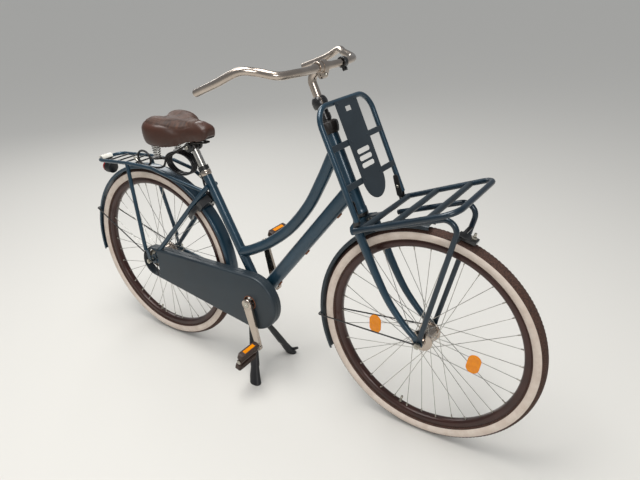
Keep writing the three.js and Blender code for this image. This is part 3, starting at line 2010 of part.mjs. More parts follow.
// Saddle frame: a clip on the seat post and two wire rails from the nose to the spring seats
const railRadius = 3.5;
const clipHeight = 24;
const clipDrop = 15;
const clipRadius = 19;
const cheekRadius = 17;
const cheekInner = 18;
const cheekOuter = 30;
const springLength = 66;
const springSeatThickness = 4;
const springSeatRadius = 19;
const springBack = 100;
const springY = 50;
const railReach = 205;
const railNoseHalf = 8;
const railRise = 71;
const springSeatHeight = saddleUnder - springLength;
// Forward, outward and upward from the spring seat to the nose, corner by corner
const railShares = [
  [1, 0, 1],
  [0.683, 0.381, 0.859],
  [0.293, 0.714, 0.225],
  [0.098, 0.929, 0],
  [0, 1, 0],
];
const railPoint = (side, [forward, out, up]) =>
  v3(
    springBack + forward * railReach,
    side * mix(railNoseHalf, springY, out),
    springSeatHeight + up * railRise,
  );
const clipPlace = onSeat(seatPostLength - clipDrop);
const clipLow = seatPostLength - clipDrop - clipHeight / 2;
const rail = (side) =>
  tube(smooth(railShares.map((row) => railPoint(side, row))), railRadius, 5, 7);
const springSeat = (side) =>
  rod(
    v3(springBack, side * springY, springSeatHeight - springSeatThickness / 2),
    v3(springBack, side * springY, springSeatHeight + springSeatThickness),
    springSeatRadius,
    10,
  );
addPart(
  "saddle_frame",
  cut(
    join(
      rod(onSeat(clipLow), onSeat(clipLow + clipHeight), clipRadius, 12),
      ...[-1, 1].flatMap((side) => [
        rail(side),
        springSeat(side),
        rod(
          clipPlace.clone().setY(side * cheekInner),
          clipPlace.clone().setY(side * cheekOuter),
          cheekRadius,
          8,
        ),
      ]),
      crossRod(springBack + railReach, springSeatHeight + railRise, railNoseHalf, railRadius, 6),
      crossRod(clipPlace.x, clipPlace.z, cheekInner + overrun, cheekRadius / 2, 8),
    ),
    rod(onSeat(clipLow - overrun), onSeat(clipLow + clipHeight + overrun), seatPostRadius + fit, 16),
  ),
  steel,
);

// Saddle springs: upright coils from the spring seats to a cap plate under the saddle
const springWire = 2.2;
const springRadius = 14.5;
const springTurns = 3.5;
const springPlate = 3;
class Coil extends THREE.Curve {
  constructor(radius, turns, from, to) {
    super();
    Object.assign(this, { radius, turns, from, to });
  }
  getPoint(share, target = v3()) {
    const turn = 2 * PI * this.turns * share;
    return target.set(
      this.radius * cos(turn),
      this.radius * sin(turn),
      mix(this.from, this.to, share),
    );
  }
}
const springBottom = springSeatHeight + springSeatThickness + fit;
const springTop = saddleUnder - fit;
const springPath = new Coil(
  springRadius,
  springTurns,
  springBottom + springWire,
  springTop - springPlate,
);
for (const [name, side] of Object.entries(sides))
  addPart(
    `saddle_spring_${name}`,
    join(
      tube(springPath, springWire, 5, 8 * springTurns),
      rod(v3(0, 0, springTop - springPlate), v3(0, 0, springTop), springSeatRadius, 10),
    ),
    steel,
    addGroup(bike, springBack, side * springY, 0),
  );

// Ring lock over the rear wheel. Its frame: z runs out from the axle, x forward across the ring.
const lockReach = 337;
const lockRadius = 50;
const lockForward = 21;
const lockHalfDepth = 9;
const lockHalfWall = 7;
const lockOpeningAngle = 50;
const tunnelEndAngle = 68;
const tunnelGap = 0.8;
const shackleRadius = 4;
const shackleTipAngle = -45;
const shackleTailAngle = 60;
const socketAngle = 25;
const knobAngle = 52;
const knobTravelAngle = 6;
const knobStem = 2;
const knobRadius = 6.5;
const knobHeight = 5;
const housingHalf = 42;
const housingHeight = 30;
const housingDepth = 26;
const keyRadius = 9;
const keyHeight = 5;
const lock = addGroup(bike, 0, 0, tyreRadius, seatBridgeAngle - 90);
lock.updateMatrixWorld(true);
const onLock = (angle, radius, x = lockForward) =>
  v3(x, radius * cos(rad(angle)), lockReach + radius * sin(rad(angle)));
function ringPiece(start, end, steps, outlineOf) {
  return loft(
    Array.from({ length: steps + 1 }, (_, i) => {
      const angle = mix(start, end, i / steps);
      return {
        at: onLock(angle, lockRadius),
        across: v3(1, 0, 0),
        up: v3(0, cos(rad(angle)), sin(rad(angle))),
        outline: outlineOf,
      };
    }),
  );
}
const lockCorner = lockHalfWall / 2;
const lockSection = [
  v2(lockHalfDepth, -lockHalfWall + lockCorner),
  v2(lockHalfDepth, lockHalfWall - lockCorner),
  v2(lockHalfDepth - lockCorner, lockHalfWall),
  v2(lockCorner - lockHalfDepth, lockHalfWall),
  v2(-lockHalfDepth, lockHalfWall - lockCorner),
  v2(-lockHalfDepth, -lockHalfWall + lockCorner),
  v2(lockCorner - lockHalfDepth, -lockHalfWall),
  v2(lockHalfDepth - lockCorner, -lockHalfWall),
];
const tunnelSection = circle(shackleRadius + tunnelGap, 6);
const slotSection = [
  v2(0, -knobStem - tunnelGap),
  v2(lockHalfDepth + overrun, -knobStem - tunnelGap),
  v2(lockHalfDepth + overrun, knobStem + tunnelGap),
  v2(0, knobStem + tunnelGap),
];
const housingBottom = lockReach + lockRadius + lockHalfWall / 2;
const housingTop = housingBottom + housingHeight;
const housingBack = lockForward - lockHalfDepth;
const housingFront = housingBack + housingDepth;
addPart(
  "ring_lock_body",
  cut(
    join(
      ringPiece(-lockOpeningAngle, 180 + lockOpeningAngle, 14, lockSection),
      facePlate(
        [
          v2(-housingHalf, lockReach + lockRadius / 2),
          v2(housingHalf, lockReach + lockRadius / 2),
          v2(housingHalf, housingBottom),
          v2(housingHalf - housingHeight, housingTop),
          v2(housingHeight - housingHalf, housingTop),
          v2(-housingHalf, housingBottom),
        ],
        housingBack,
        housingFront,
      ),
      rod(
        v3(housingFront - overrun, 0, housingBottom + housingHeight / 2),
        v3(housingFront + keyHeight, 0, housingBottom + housingHeight / 2),
        keyRadius,
        12,
      ),
    ),
    rod(
      v3(housingBack - overrun, 0, lockReach),
      v3(housingFront + overrun, 0, lockReach),
      lockRadius - lockHalfWall,
      24,
    ),
    facePlate(
      [
        ...arc(v2(0, lockReach), lockRadius + knobRadius + tunnelGap, 0, (PI * 5) / 12, 8),
        ...arc(v2(0, lockReach), lockRadius / 2, (PI * 5) / 12, (-PI * 5) / 12, 4),
      ],
      lockForward + lockHalfDepth,
      housingFront + overrun,
    ),
    ringPiece(-lockOpeningAngle - overrun, tunnelEndAngle, 7, tunnelSection),
    ringPiece(-lockOpeningAngle - overrun, knobAngle + knobTravelAngle, 7, slotSection),
    ringPiece(180 + lockOpeningAngle - socketAngle, 180 + lockOpeningAngle + overrun, 2, tunnelSection),
  ),
  black,
  lock,
);
const knobFoot = onLock(knobAngle, lockRadius);
const knobFace = lockForward + lockHalfDepth + runningFit;
addPart(
  "lock_shackle",
  join(
    ringPiece(shackleTipAngle, shackleTailAngle, 8, circle(shackleRadius, 6)),
    rod(knobFoot, knobFoot.clone().setX(knobFace + overrun), knobStem, 6),
    rod(knobFoot.clone().setX(knobFace), knobFoot.clone().setX(knobFace + knobHeight), knobRadius, 10),
  ),
  steel,
  lock,
);

// Coiled lock cable: out of the lock's housing, wound upright behind the seat post, its far loop
// hanging over the rear carrier
const cableRadius = 4;
const cablePlug = 6;
const plugShare = 0.57;
const cableStart = lock.localToWorld(
  v3(housingBack - cableRadius / 4, cablePlug, mix(housingBottom, housingTop, plugShare)),
);
const leadBack = 9.5;
const leadAside = 3.8;
// How far along the lead from the lock to the coil, and shares of its bow backwards and sideways
const leadShares = [
  [0.3, 1, 0.8],
  [0.54, 0.8, 1],
];
const coilForward = 165;
const coilAboveCarrier = 20;
const coilReach = 66;
const coilRise = 41;
const coilTurns = 3.5;
const coilPitch = 9.6;
const coilSteps = 18;
const tailBack = 153;
const tailAside = 33.4;
const tailAbove = 4;
const tailReach = 36;
const tailRise = 29;
const tailTurns = 1.2;
const tailPitch = 9.6;
// Between the coil's end and the tail loop's start: forward, sideways and upward
const tailShares = [
  [0.1, 0.1, 0.72],
  [0.33, 0.31, 1.08],
  [0.66, 0.68, 1.12],
];
const coilCentre = v3(coilForward, 0, rearCarrierHeight + coilAboveCarrier);
const tailCentre = coilCentre.clone().add(v3(-tailBack, -tailAside, tailAbove));
const coilPoints = Array.from({ length: coilTurns * coilSteps + 1 }, (_, i) => {
  const turn = i / coilSteps;
  return coilCentre.clone().add(
    v3(
      coilReach * cos(2 * PI * turn),
      coilPitch * (coilTurns / 2 - turn),
      coilRise * sin(2 * PI * turn),
    ),
  );
});
const tailPoints = Array.from({ length: floor(tailTurns * coilSteps) + 1 }, (_, i) => {
  const turn = i / coilSteps;
  return tailCentre.clone().add(
    v3(
      -tailReach * sin(2 * PI * turn),
      -tailPitch * turn,
      -tailRise * cos(2 * PI * turn),
    ),
  );
});
// Each end runs straight for its last diameter and a half
const straightRun = (from, way) =>
  [1, 2, 3].map((i) => from.clone().addScaledVector(way, i * cableRadius));
const cableExit = lock.localToWorld(v3(housingBack - cableRadius, cablePlug, 0))
  .sub(lock.localToWorld(v3(housingBack, cablePlug, 0)))
  .normalize();
const tailWay = tailPoints.at(-1).clone().sub(tailPoints.at(-2)).normalize();
const cablePoints = [
  cableStart,
  ...straightRun(cableStart, cableExit),
  ...leadShares.map(([along, back, aside]) =>
    cableStart
      .clone()
      .lerp(coilPoints[0], along)
      .add(v3(-back * leadBack, aside * leadAside, 0)),
  ),
  ...coilPoints,
  ...tailShares.map(([forward, aside, up]) => {
    const from = coilPoints.at(-1);
    const to = tailPoints[0];
    return v3(mix(from.x, to.x, forward), mix(from.y, to.y, aside), mix(from.z, to.z, up));
  }),
  ...tailPoints,
  ...straightRun(tailPoints.at(-1), tailWay),
];
const cableCurve = smooth(cablePoints);
addPart("lock_cable", tube(cableCurve, cableRadius, 6, cablePoints.length - 1), black);

// Least free space between a wound piece's own turns, measured from point to point
function leastGap(name, curve, radius, turns) {
  const points = curve.getSpacedPoints(80 * ceil(turns));
  const apart = curve.getLength() / (points.length - 1);
  const skip = ceil((4 * radius) / apart);
  let least = Infinity;
  points.forEach((p, i) => {
    for (const q of points.slice(i + skip)) least = min(least, p.distanceTo(q));
  });
  console.log(`${name}: least gap to itself ${(least - 2 * radius).toFixed(2)} mm`);
}
leastGap("lock_cable", cableCurve, cableRadius, coilTurns + tailTurns);
leastGap("saddle_spring", springPath, springWire, springTurns);

// Two-legged stand: a bracket clamped on the chain stays carries the yoke of the legs on a pin
const standForward = 432;
const standDrop = 52;
const standPin = 5;
const bracketThickness = 5;
const bracketLength = 44;
const bracketHalfWidth = 32;
const cheekFrom = 20;
const cheekTo = 24;
const standCheek = 13;
const standBolt = 4;
const standPivot = v2(standForward, crankHeight - standDrop);
const stayHeight = (x) =>
  mix(crankHeight, tyreRadius, (crankForward - x) / (crankForward - dropoutReach));
const bracketTop = stayHeight(standForward + bracketLength / 2) - chainStayRadius - runningFit;
const clampPlateZ = stayHeight(standForward - bracketLength / 3) + chainStayRadius + runningFit;
addPart(
  "stand_bracket",
  join(
    block(
      standForward - bracketLength / 2,
      standForward + bracketLength / 2,
      -bracketHalfWidth,
      bracketHalfWidth,
      bracketTop - bracketThickness,
      bracketTop,
    ),
    block(
      standForward - bracketLength / 3,
      standForward + bracketLength / 3,
      -bracketHalfWidth,
      bracketHalfWidth,
      clampPlateZ,
      clampPlateZ + legPlate,
    ),
    rod(
      v3(standForward, 0, bracketTop - bracketThickness - 2 * standBolt),
      v3(standForward, 0, clampPlateZ + legPlate + standBolt),
      standBolt,
      8,
    ),
    ...[-1, 1].map((side) =>
      sidePlate(
        belt(standPivot, standCheek, v2(standForward, bracketTop - standCheek - fit), standCheek, 4),
        side * cheekFrom,
        side * cheekTo,
      ),
    ),
    crossRod(standPivot.x, standPivot.y, cheekTo + legPlate, standPin, 10),
  ),
  silver,
);
const yokeRadius = 10;
const footLength = 30;
const footRise = 26;
const footOut = 4;
// Height of each station as a share of the pivot's; then forward and sideways, width and depth
const legForward = 94;
const legSpread = 112;
const legLength = 44;
const legDepth = 30;
const standShares = [
  [1, 0, 0.09, 0.42, 0.4],
  [0.78, 0.15, 0.14, 0.45, 0.5],
  [0.68, 0.32, 0.27, 0.5, 0.55],
  [0.23, 0.78, 0.75, 0.55, 0.6],
  [0.08, 0.91, 0.92, 0.9, 0.87],
  [0, 1, 1, 1, 1],
];
const standLeg = (side) =>
  loft(
    standShares.map(([up, forward, out, length, depth]) => ({
      at: v3(standForward + forward * legForward, side * out * legSpread, up * standPivot.y),
      across: v3(1, 0, 0),
      up: v3(0, 1, 0),
      outline: oval((length * legLength) / 2, (depth * legDepth) / 2, 8),
    })),
  );
const prongFoot = v3(standForward + legForward, legSpread, footRise / 2);
addPart(
  "stand_legs",
  cut(
    join(
      crossRod(standPivot.x, standPivot.y, cheekFrom - runningFit, yokeRadius, 16),
      standLeg(-1),
      standLeg(1),
      rod(
        prongFoot,
        v3(prongFoot.x + footLength, legSpread + footOut, footRise + legPlate),
        legDepth / 4,
        8,
        legDepth / 6,
      ),
    ),
    crossRod(standPivot.x, standPivot.y, cheekFrom + overrun, standPin + runningFit, 12),
  ),
  black,
);

// Origin: on the ground, under the middle of the bicycle's bounding box
bike.updateMatrixWorld(true);
const middle = new THREE.Box3().setFromObject(bike).getCenter(v3());
bike.position.set(-middle.x, -middle.y, 0);

export default bike;
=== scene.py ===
import bmesh
import bpy
import math
import numpy as np
from mathutils import Matrix, Vector
from mathutils.geometry import tessellate_polygon


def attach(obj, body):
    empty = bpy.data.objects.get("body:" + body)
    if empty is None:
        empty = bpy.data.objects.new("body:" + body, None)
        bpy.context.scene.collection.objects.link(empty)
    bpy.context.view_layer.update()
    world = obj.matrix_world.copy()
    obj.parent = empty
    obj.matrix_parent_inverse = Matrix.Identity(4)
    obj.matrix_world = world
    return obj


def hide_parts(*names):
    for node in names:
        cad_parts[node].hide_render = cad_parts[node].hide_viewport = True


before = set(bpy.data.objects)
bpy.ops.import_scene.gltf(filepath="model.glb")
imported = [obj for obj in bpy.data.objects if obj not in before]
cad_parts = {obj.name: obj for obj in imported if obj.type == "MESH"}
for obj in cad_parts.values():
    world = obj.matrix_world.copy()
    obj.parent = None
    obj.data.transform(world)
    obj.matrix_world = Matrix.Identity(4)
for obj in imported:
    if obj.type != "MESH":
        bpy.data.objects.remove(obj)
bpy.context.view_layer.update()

# The view.
# The photograph was taken from the front right, from above saddle height, with the camera tipped a little.
view_place = (1.14109, -1.39156, 1.37212)
view_turn, view_drop, view_roll = np.radians([34.18, 24.90, -1.81])
forward = np.array([
    -math.sin(view_turn) * math.cos(view_drop),
    math.cos(view_turn) * math.cos(view_drop),
    -math.sin(view_drop),
])
level = np.cross(forward, (0, 0, 1))
level /= np.linalg.norm(level)
upright = np.cross(level, forward)
picture_right = math.cos(view_roll) * level + math.sin(view_roll) * upright
picture_up = math.cos(view_roll) * upright - math.sin(view_roll) * level
lens = bpy.data.cameras.new("photograph_view")
lens.sensor_width = 36
lens.lens = 32.51
camera = bpy.data.objects.new("photograph_view", lens)
camera.matrix_world = Matrix([
    *((picture_right[i], picture_up[i], -forward[i], view_place[i]) for i in range(3)),
    (0, 0, 0, 1),
])
bpy.context.scene.collection.objects.link(camera)
bpy.context.scene.camera = camera
bpy.context.scene.view_settings.view_transform = "Standard"


# Lock cable.
# A steel cable in a black polyurethane sleeve, wound into a springy coil. One end is plugged into the ring
# lock, the coil stands behind the seat post and the far loop hangs over the rear carrier. The sleeve shines
# softly.
def colour(code):
    """Linear colour of an sRGB hex code."""
    parts = [int(code[i : i + 2], 16) / 255 for i in (1, 3, 5)]
    return [p / 12.92 if p <= 0.04045 else ((p + 0.055) / 1.055) ** 2.4 for p in parts] + [1]


def add_node(material, kind, settings=None, sockets=None):
    """Adds a shader node, sets it up and links the sockets that are given as other nodes' outputs."""
    node = material.node_tree.nodes.new("ShaderNode" + kind)
    for key, value in (settings or {}).items():
        setattr(node, key, value)
    for key, value in (sockets or {}).items():
        if isinstance(value, bpy.types.NodeSocket):
            material.node_tree.links.new(value, node.inputs[key])
        else:
            node.inputs[key].default_value = value
    return node


def finish(name, slot, base, patch, patch_mm, grain_mm=0, grain_depth=0.0, rough=(0.4, 0.5), **shader):
    """A finish whose colour and gloss drift over patches of a real size, with an optional fine grain."""
    material = bpy.data.materials.new(name)
    material.use_nodes = True
    material["slot"] = slot
    surface = material.node_tree.nodes["Principled BSDF"]
    place = add_node(material, "TexCoord").outputs["Object"]
    drift = add_node(material, "TexNoise", None, {
        "Vector": place, "Scale": 1000 / patch_mm, "Detail": 4.0, "Roughness": 0.6})
    amount = add_node(material, "MapRange", None, {0: drift.outputs[0], 1: 0.35, 2: 0.65})
    tint = add_node(material, "Mix", {"data_type": "RGBA"}, {
        0: amount.outputs[0], 6: colour(base), 7: colour(patch)})
    gloss = add_node(material, "MapRange", None, {
        0: drift.outputs[0], 1: 0.3, 2: 0.7, 3: rough[0], 4: rough[1]})
    material.node_tree.links.new(tint.outputs[2], surface.inputs["Base Color"])
    material.node_tree.links.new(gloss.outputs[0], surface.inputs["Roughness"])
    if grain_mm:
        fine = add_node(material, "TexNoise", None, {
            "Vector": place, "Scale": 1000 / grain_mm, "Detail": 3.0})
        bump = add_node(material, "Bump", None, {
            "Height": fine.outputs[0], "Strength": 1.0, "Distance": grain_depth / 1000})
        material.node_tree.links.new(bump.outputs[0], surface.inputs["Normal"])
    for key, value in shader.items():
        surface.inputs[key.replace("_", " ")].default_value = value
    return material


# Polyurethane sleeve: moulded, smooth and slightly waxy, with a faint grain of 0.6 mm from handling.
cable_sleeve = finish(
    "polyurethane_sleeve", "black_sleeve", "#141416", "#1d1d20", 40, 0.6, 0.02, (0.26, 0.36), IOR=1.5)


def flowing(points, steps):
    """A line that runs smoothly through all the points."""
    points = np.asarray(points, float)
    ends = np.vstack([2 * points[0] - points[1], points, 2 * points[-1] - points[-2]])
    line = []
    for a, b, c, d in zip(ends, ends[1:], ends[2:], ends[3:]):
        for t in np.arange(steps) / steps:
            square = (a - 2.5 * b + 2 * c - d / 2) * t**2
            cube = (1.5 * b - a / 2 - 1.5 * c + d / 2) * t**3
            line.append(b + (c - a) * t / 2 + square + cube)
    return np.array([*line, points[-1]])


# The rear axle's place along the part's own frame, and the hole and the way by which the cable leaves the
# lock.
rear_axle_x = -0.5606071
cable_exit = np.array([-0.2830357, 0.006, 0.6566852])
exit_way = np.array([-0.7506214, 0, 0.6607326])
coil_centre = np.array([0.165 + rear_axle_x, 0, 0.762])
tail_centre = coil_centre + (-0.153, -0.0334, 0.004)
points_per_turn = 18
coil = [
    coil_centre + (0.066 * math.cos(2 * math.pi * t), 0.0096 * (1.75 - t), 0.041 * math.sin(2 * math.pi * t))
    for t in np.arange(64) / points_per_turn
]
tail = [
    tail_centre - (0.036 * math.sin(2 * math.pi * t), 0.0096 * t, 0.029 * math.cos(2 * math.pi * t))
    for t in np.arange(22) / points_per_turn
]
tail_way = (tail[-1] - tail[-2]) / np.linalg.norm(tail[-1] - tail[-2])
lead = [
    cable_exit + (coil[0] - cable_exit) * share + (-0.0095 * back, 0.0038 * out, 0)
    for share, back, out in [(0.3, 1, 0.8), (0.54, 0.8, 1)]
]
bridge = [
    coil[-1] + (tail[0] - coil[-1]) * np.array(share)
    for share in [(0.1, 0.1, 0.72), (0.33, 0.31, 1.08), (0.66, 0.68, 1.12)]
]
cable_line = flowing([
    cable_exit,
    *(cable_exit + exit_way * 0.004 * i for i in (1, 2, 3)),
    *lead,
    *coil,
    *bridge,
    *tail,
    *(tail[-1] + tail_way * 0.004 * i for i in (1, 2, 3)),
], 5)
cable_curve = bpy.data.curves.new("coiled_cable", "CURVE")
cable_curve.dimensions = "3D"
strand = cable_curve.splines.new("POLY")
strand.points.add(len(cable_line) - 1)
for point, place in zip(strand.points, cable_line):
    point.co = (*place, 1)
cable_curve.bevel_depth = 0.004
cable_curve.bevel_resolution = 5
cable_curve.use_fill_caps = True
cable_curve.materials.append(cable_sleeve)
coiled_cable = bpy.data.objects.new("coiled_cable", cable_curve)
bpy.context.scene.collection.objects.link(coiled_cable)
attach(coiled_cable, "frame")
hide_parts("lock_cable")


def ring(radius, sides=24):
    """Corners of a circle, as across and up."""
    turn = np.arange(sides) * 2 * math.pi / sides
    return radius * np.stack([np.cos(turn), np.sin(turn)], 1)


def stitch(rings, loop=False):
    """Skins a row of rings with equal numbers of points into a closed shape."""
    size = len(rings[0])
    count = len(rings)
    faces = []
    for i in range(count if loop else count - 1):
        a = i * size
        b = (i + 1) % count * size
        faces += [(a + j, a + (j + 1) % size, b + (j + 1) % size, b + j) for j in range(size)]
    if not loop:
        faces += [tuple(range(size))[::-1], tuple(range((count - 1) * size, count * size))]
    return np.vstack(rings), faces


def sweep(line, outline, loop=False, up=(0, 0, 1)):
    """Carries an outline, or one that changes along the way, along a line without twisting it."""
    line = np.asarray(line, float)
    ahead = np.roll(line, -1, 0) - np.roll(line, 1, 0) if loop else np.gradient(line, axis=0)
    ahead /= np.linalg.norm(ahead, axis=1)[:, None]
    side = np.cross(up, ahead[0])
    if np.linalg.norm(side) < 0.1:
        side = np.cross((0, 1, 0), ahead[0])
    rings = []
    for i, place in enumerate(line):
        side = side - ahead[i] * side.dot(ahead[i])
        side /= np.linalg.norm(side)
        shape = outline(i / (len(line) - 1)) if callable(outline) else outline
        rings.append(place + shape[:, :1] * side + shape[:, 1:] * np.cross(ahead[i], side))
    return stitch(rings, loop)


def pipe(line, radius, sides=20, loop=False):
    """Round tube along a line; the radius is a number or changes with the share of the way."""
    return sweep(line, (lambda s: ring(radius(s), sides)) if callable(radius) else ring(radius, sides), loop)


def lathe(base, way, profile, sides=48, hollow=False):
    """Turned shape about an axis: pairs of distance along the axis and radius."""
    way = np.asarray(way, float) / np.linalg.norm(way)
    one = np.cross(way, (0, 1, 0) if abs(way[1]) < 0.9 else (1, 0, 0))
    one /= np.linalg.norm(one)
    two = np.cross(way, one)
    circle = ring(1, sides)
    rim = circle[:, :1] * one + circle[:, 1:] * two
    return stitch([base + way * along + max(reach, 0) * rim for along, reach in profile], hollow)


def rod(start, end, radius, ease=0.6, sides=24, far=None):
    """Straight round bar with eased ends, of one radius or with another at the far end."""
    start = np.asarray(start, float)
    end = np.asarray(end, float)
    length = np.linalg.norm(end - start)
    far = radius if far is None else far
    profile = [(0, radius - ease), (ease, radius), (length - ease, far), (length, far - ease)]
    return lathe(start, end - start, profile, sides)


def bent(corners, bend, steps=10):
    """Centre line of a bent tube: straight runs joined by arcs."""
    corners = [np.asarray(c, float) for c in corners]
    line = [corners[0]]
    for a, b, c in zip(corners, corners[1:], corners[2:]):
        into = (b - a) / np.linalg.norm(b - a)
        out = (c - b) / np.linalg.norm(c - b)
        turn = math.acos(max(-1, min(1, into.dot(out))))
        axis = np.cross(into, out) / math.sin(turn)
        start = b - into * bend * math.tan(turn / 2)
        inward = np.cross(axis, into)
        for i in range(steps + 1):
            t = turn * i / steps
            line.append(start + bend * (into * math.sin(t) + inward * (1 - math.cos(t))))
    return np.array([*line, corners[-1]])


def plate(outline, origin, across, up, depth, holes=()):
    """Flat plate: an outline in two directions, made thick along a third, with holes."""
    loops = [np.asarray(outline, float), *(np.asarray(h, float) for h in holes)]
    flat = np.vstack(loops)
    across, up, origin, depth = (np.asarray(way, float) for way in (across, up, origin, depth))
    low = origin + flat[:, :1] * across + flat[:, 1:] * up
    points = np.vstack([low, low + depth])
    count = len(flat)
    faces = []
    if holes:
        for tri in tessellate_polygon([[(*p, 0) for p in loop] for loop in loops]):
            faces += [tuple(tri), tuple(i + count for i in tri[::-1])]
    else:
        faces += [tuple(range(count)), tuple(range(count, 2 * count))]
    start = 0
    for loop in loops:
        size = len(loop)
        for j in range(size):
            a = start + j
            b = start + (j + 1) % size
            faces.append((a, b, b + count, a + count))
        start += size
    return points, faces


def block(x0, x1, y0, y1, z0, z1):
    """Squared bar."""
    return plate([(x0, z0), (x1, z0), (x1, z1), (x0, z1)], (0, y0, 0), (1, 0, 0), (0, 0, 1), (0, y1 - y0, 0))


def tilted(shape, origin, degrees):
    """Leans a shape back by an angle and moves it to its origin."""
    points, faces = shape
    c = math.cos(math.radians(degrees))
    s = math.sin(math.radians(degrees))
    x, y, z = points.T
    return np.stack([x * c - z * s, y, x * s + z * c], 1) + origin, faces


def mesh_of(name, shapes):
    """One mesh of several shapes, in metres in the part's frame, with its faces turned outwards."""
    points = []
    faces = []
    start = 0
    for corners, sides in shapes:
        points.append(corners)
        faces += [tuple(start + i for i in side) for side in sides]
        start += len(corners)
    mesh = bpy.data.meshes.new(name)
    mesh.from_pydata((np.vstack(points) / 1000 + (rear_axle_x, 0, 0)).tolist(), [], faces)
    sheet = bmesh.new()
    sheet.from_mesh(mesh)
    bmesh.ops.remove_doubles(sheet, verts=sheet.verts, dist=1e-7)
    bmesh.ops.recalc_face_normals(sheet, faces=sheet.faces)
    sheet.to_mesh(mesh)
    sheet.free()
    return mesh


def applied(thing):
    """The mesh of an object as its modifiers leave it."""
    bpy.context.view_layer.update()
    return bpy.data.meshes.new_from_object(thing.evaluated_get(bpy.context.evaluated_depsgraph_get()))


def piece(name, body, material, shapes, replaces=(), cuts=(), bevel=0, sharp=40):
    """Makes a piece of the bicycle, cuts its openings, eases its edges and lets it ride on its body."""
    made = bpy.data.objects.new(name, mesh_of(name, shapes))
    bpy.context.scene.collection.objects.link(made)
    for shape in cuts:
        cutter = bpy.data.objects.new("cutter", mesh_of("cutter", [shape]))
        bpy.context.scene.collection.objects.link(cutter)
        knife = made.modifiers.new("cut", "BOOLEAN")
        knife.object = cutter
        knife.solver = "EXACT"
        knife.use_self = len(shapes) > 1
        result = applied(made)
        made.modifiers.remove(knife)
        made.data = result
        bpy.data.objects.remove(cutter)
    sheet = bmesh.new()
    sheet.from_mesh(made.data)
    for edge in sheet.edges:
        edge.smooth = bool(bevel) or edge.calc_face_angle(0) < math.radians(sharp)
    for face in sheet.faces:
        face.smooth = True
        face.material_index = 0
    sheet.to_mesh(made.data)
    sheet.free()
    made.data.materials.clear()
    made.data.materials.append(material)
    if bevel:
        ease = made.modifiers.new("eased_edges", "BEVEL")
        ease.width = bevel / 1000
        ease.segments = 2
        ease.limit_method = "ANGLE"
        ease.angle_limit = math.radians(sharp)
        ease.harden_normals = True
    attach(made, body)
    if replaces:
        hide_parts(*replaces)
    return made


def to_plans(place):
    """A place in metres in the part's frame, as millimetres from the ground under the rear axle."""
    return (np.asarray(place) - (rear_axle_x, 0, 0)) * 1000


# Nickel-plated brass ferrule and a black rubber strain relief that thins towards the cable.
nickel_plate = finish(
    "nickel_plated_brass", "plain_steel", "#b9b5aa", "#a6a299", 25, rough=(0.22, 0.34), Metallic=1.0)
relief_rubber = finish(
    "strain_relief_rubber", "black_sleeve", "#1a1a1b", "#222223", 20, 0.5, 0.03, (0.5, 0.6))
relief_profile = [
    (0, 4.1), (0, 7.2), (3, 7.2), (3.6, 6.4), (5, 6.4), (5.6, 7), (7.4, 6.7), (8, 5.8), (9.2, 5.8),
    (9.8, 6.2), (11.4, 5.8), (12, 5.2), (14, 4.9), (14.4, 4.1),
]
plug_profile = [
    (0, 4.2), (0.4, 4.9), (10, 4.9), (10.6, 4.4), (11.4, 4.4), (12, 4.9), (15, 4.9), (15.6, 3.2), (17.2, 3.2),
    (17.6, 2.4), (19, 2.4), (19.4, 3.2), (21.6, 3.2), (23, 1.6),
]
strain_relief = piece("cable_strain_relief", "frame", relief_rubber, [
    lathe(to_plans(cable_exit - exit_way * 0.0005), exit_way, relief_profile, 32),
])
cable_end = piece("cable_end_plug", "frame", nickel_plate, [
    lathe(to_plans(cable_line[-1] - tail_way * 0.010), tail_way, plug_profile, 28),
])


# Painted frame.
# Steel tubes, brazed and sprayed in petrol blue enamel with a little mica under a clear coat. One low curve
# joins the head to the seat tube, and the fat down tube runs straight to the crank.
petrol_enamel = finish(
    "petrol_mica_enamel", "petrol_paint", "#163343", "#1b3b4d", 90, 0.9, 0.012, (0.3, 0.42),
    Metallic=0.4, Coat_Weight=0.6, Coat_Roughness=0.14)
slate_enamel = finish(
    "slate_enamel", "slate_paint", "#1f2a32", "#27333b", 110, 1.1, 0.02, (0.42, 0.55),
    Metallic=0.25, Coat_Weight=0.25, Coat_Roughness=0.3)
wheelbase = 1135
axle_height = 358
head_lean = 23.5
seat_lean = 26.6


def leaned(height, foot, degrees, ahead=0.0, y=0.0):
    """A point at a height along a leaning axis, and ahead of it."""
    c = math.cos(math.radians(degrees))
    s = math.sin(math.radians(degrees))
    return foot + np.array([ahead * c - height * s, y, ahead * s + height * c])


def round_wheel(centre, radius, degrees, y=0.0):
    """A point at a radius and an angle about a wheel's axle."""
    c = math.cos(math.radians(degrees))
    s = math.sin(math.radians(degrees))
    return np.array([centre[0] + radius * c, y, centre[2] + radius * s])


rear_axle = np.array([0, 0, axle_height], float)
front_axle = np.array([wheelbase, 0, axle_height], float)
crank = np.array([495.0, 0, 314])
# The foot of the steering axis is the point on it that the front axle stands 65 mm ahead of.
fork_offset = 65
steer_foot = leaned(0, front_axle, head_lean, -fork_offset)


def belt(start, start_radius, end, end_radius, steps=16):
    """Outline round two circles and their common tangents."""
    start = np.asarray(start, float)
    end = np.asarray(end, float)
    span = end - start
    way = math.atan2(span[1], span[0])
    turn = math.acos((start_radius - end_radius) / np.linalg.norm(span))
    first = way + turn + 2 * (math.pi - turn) * np.arange(steps + 1) / steps
    last = way - turn + 2 * turn * np.arange(steps + 1) / steps
    return np.vstack([
        start + start_radius * np.stack([np.cos(first), np.sin(first)], 1),
        end + end_radius * np.stack([np.cos(last), np.sin(last)], 1),
    ])


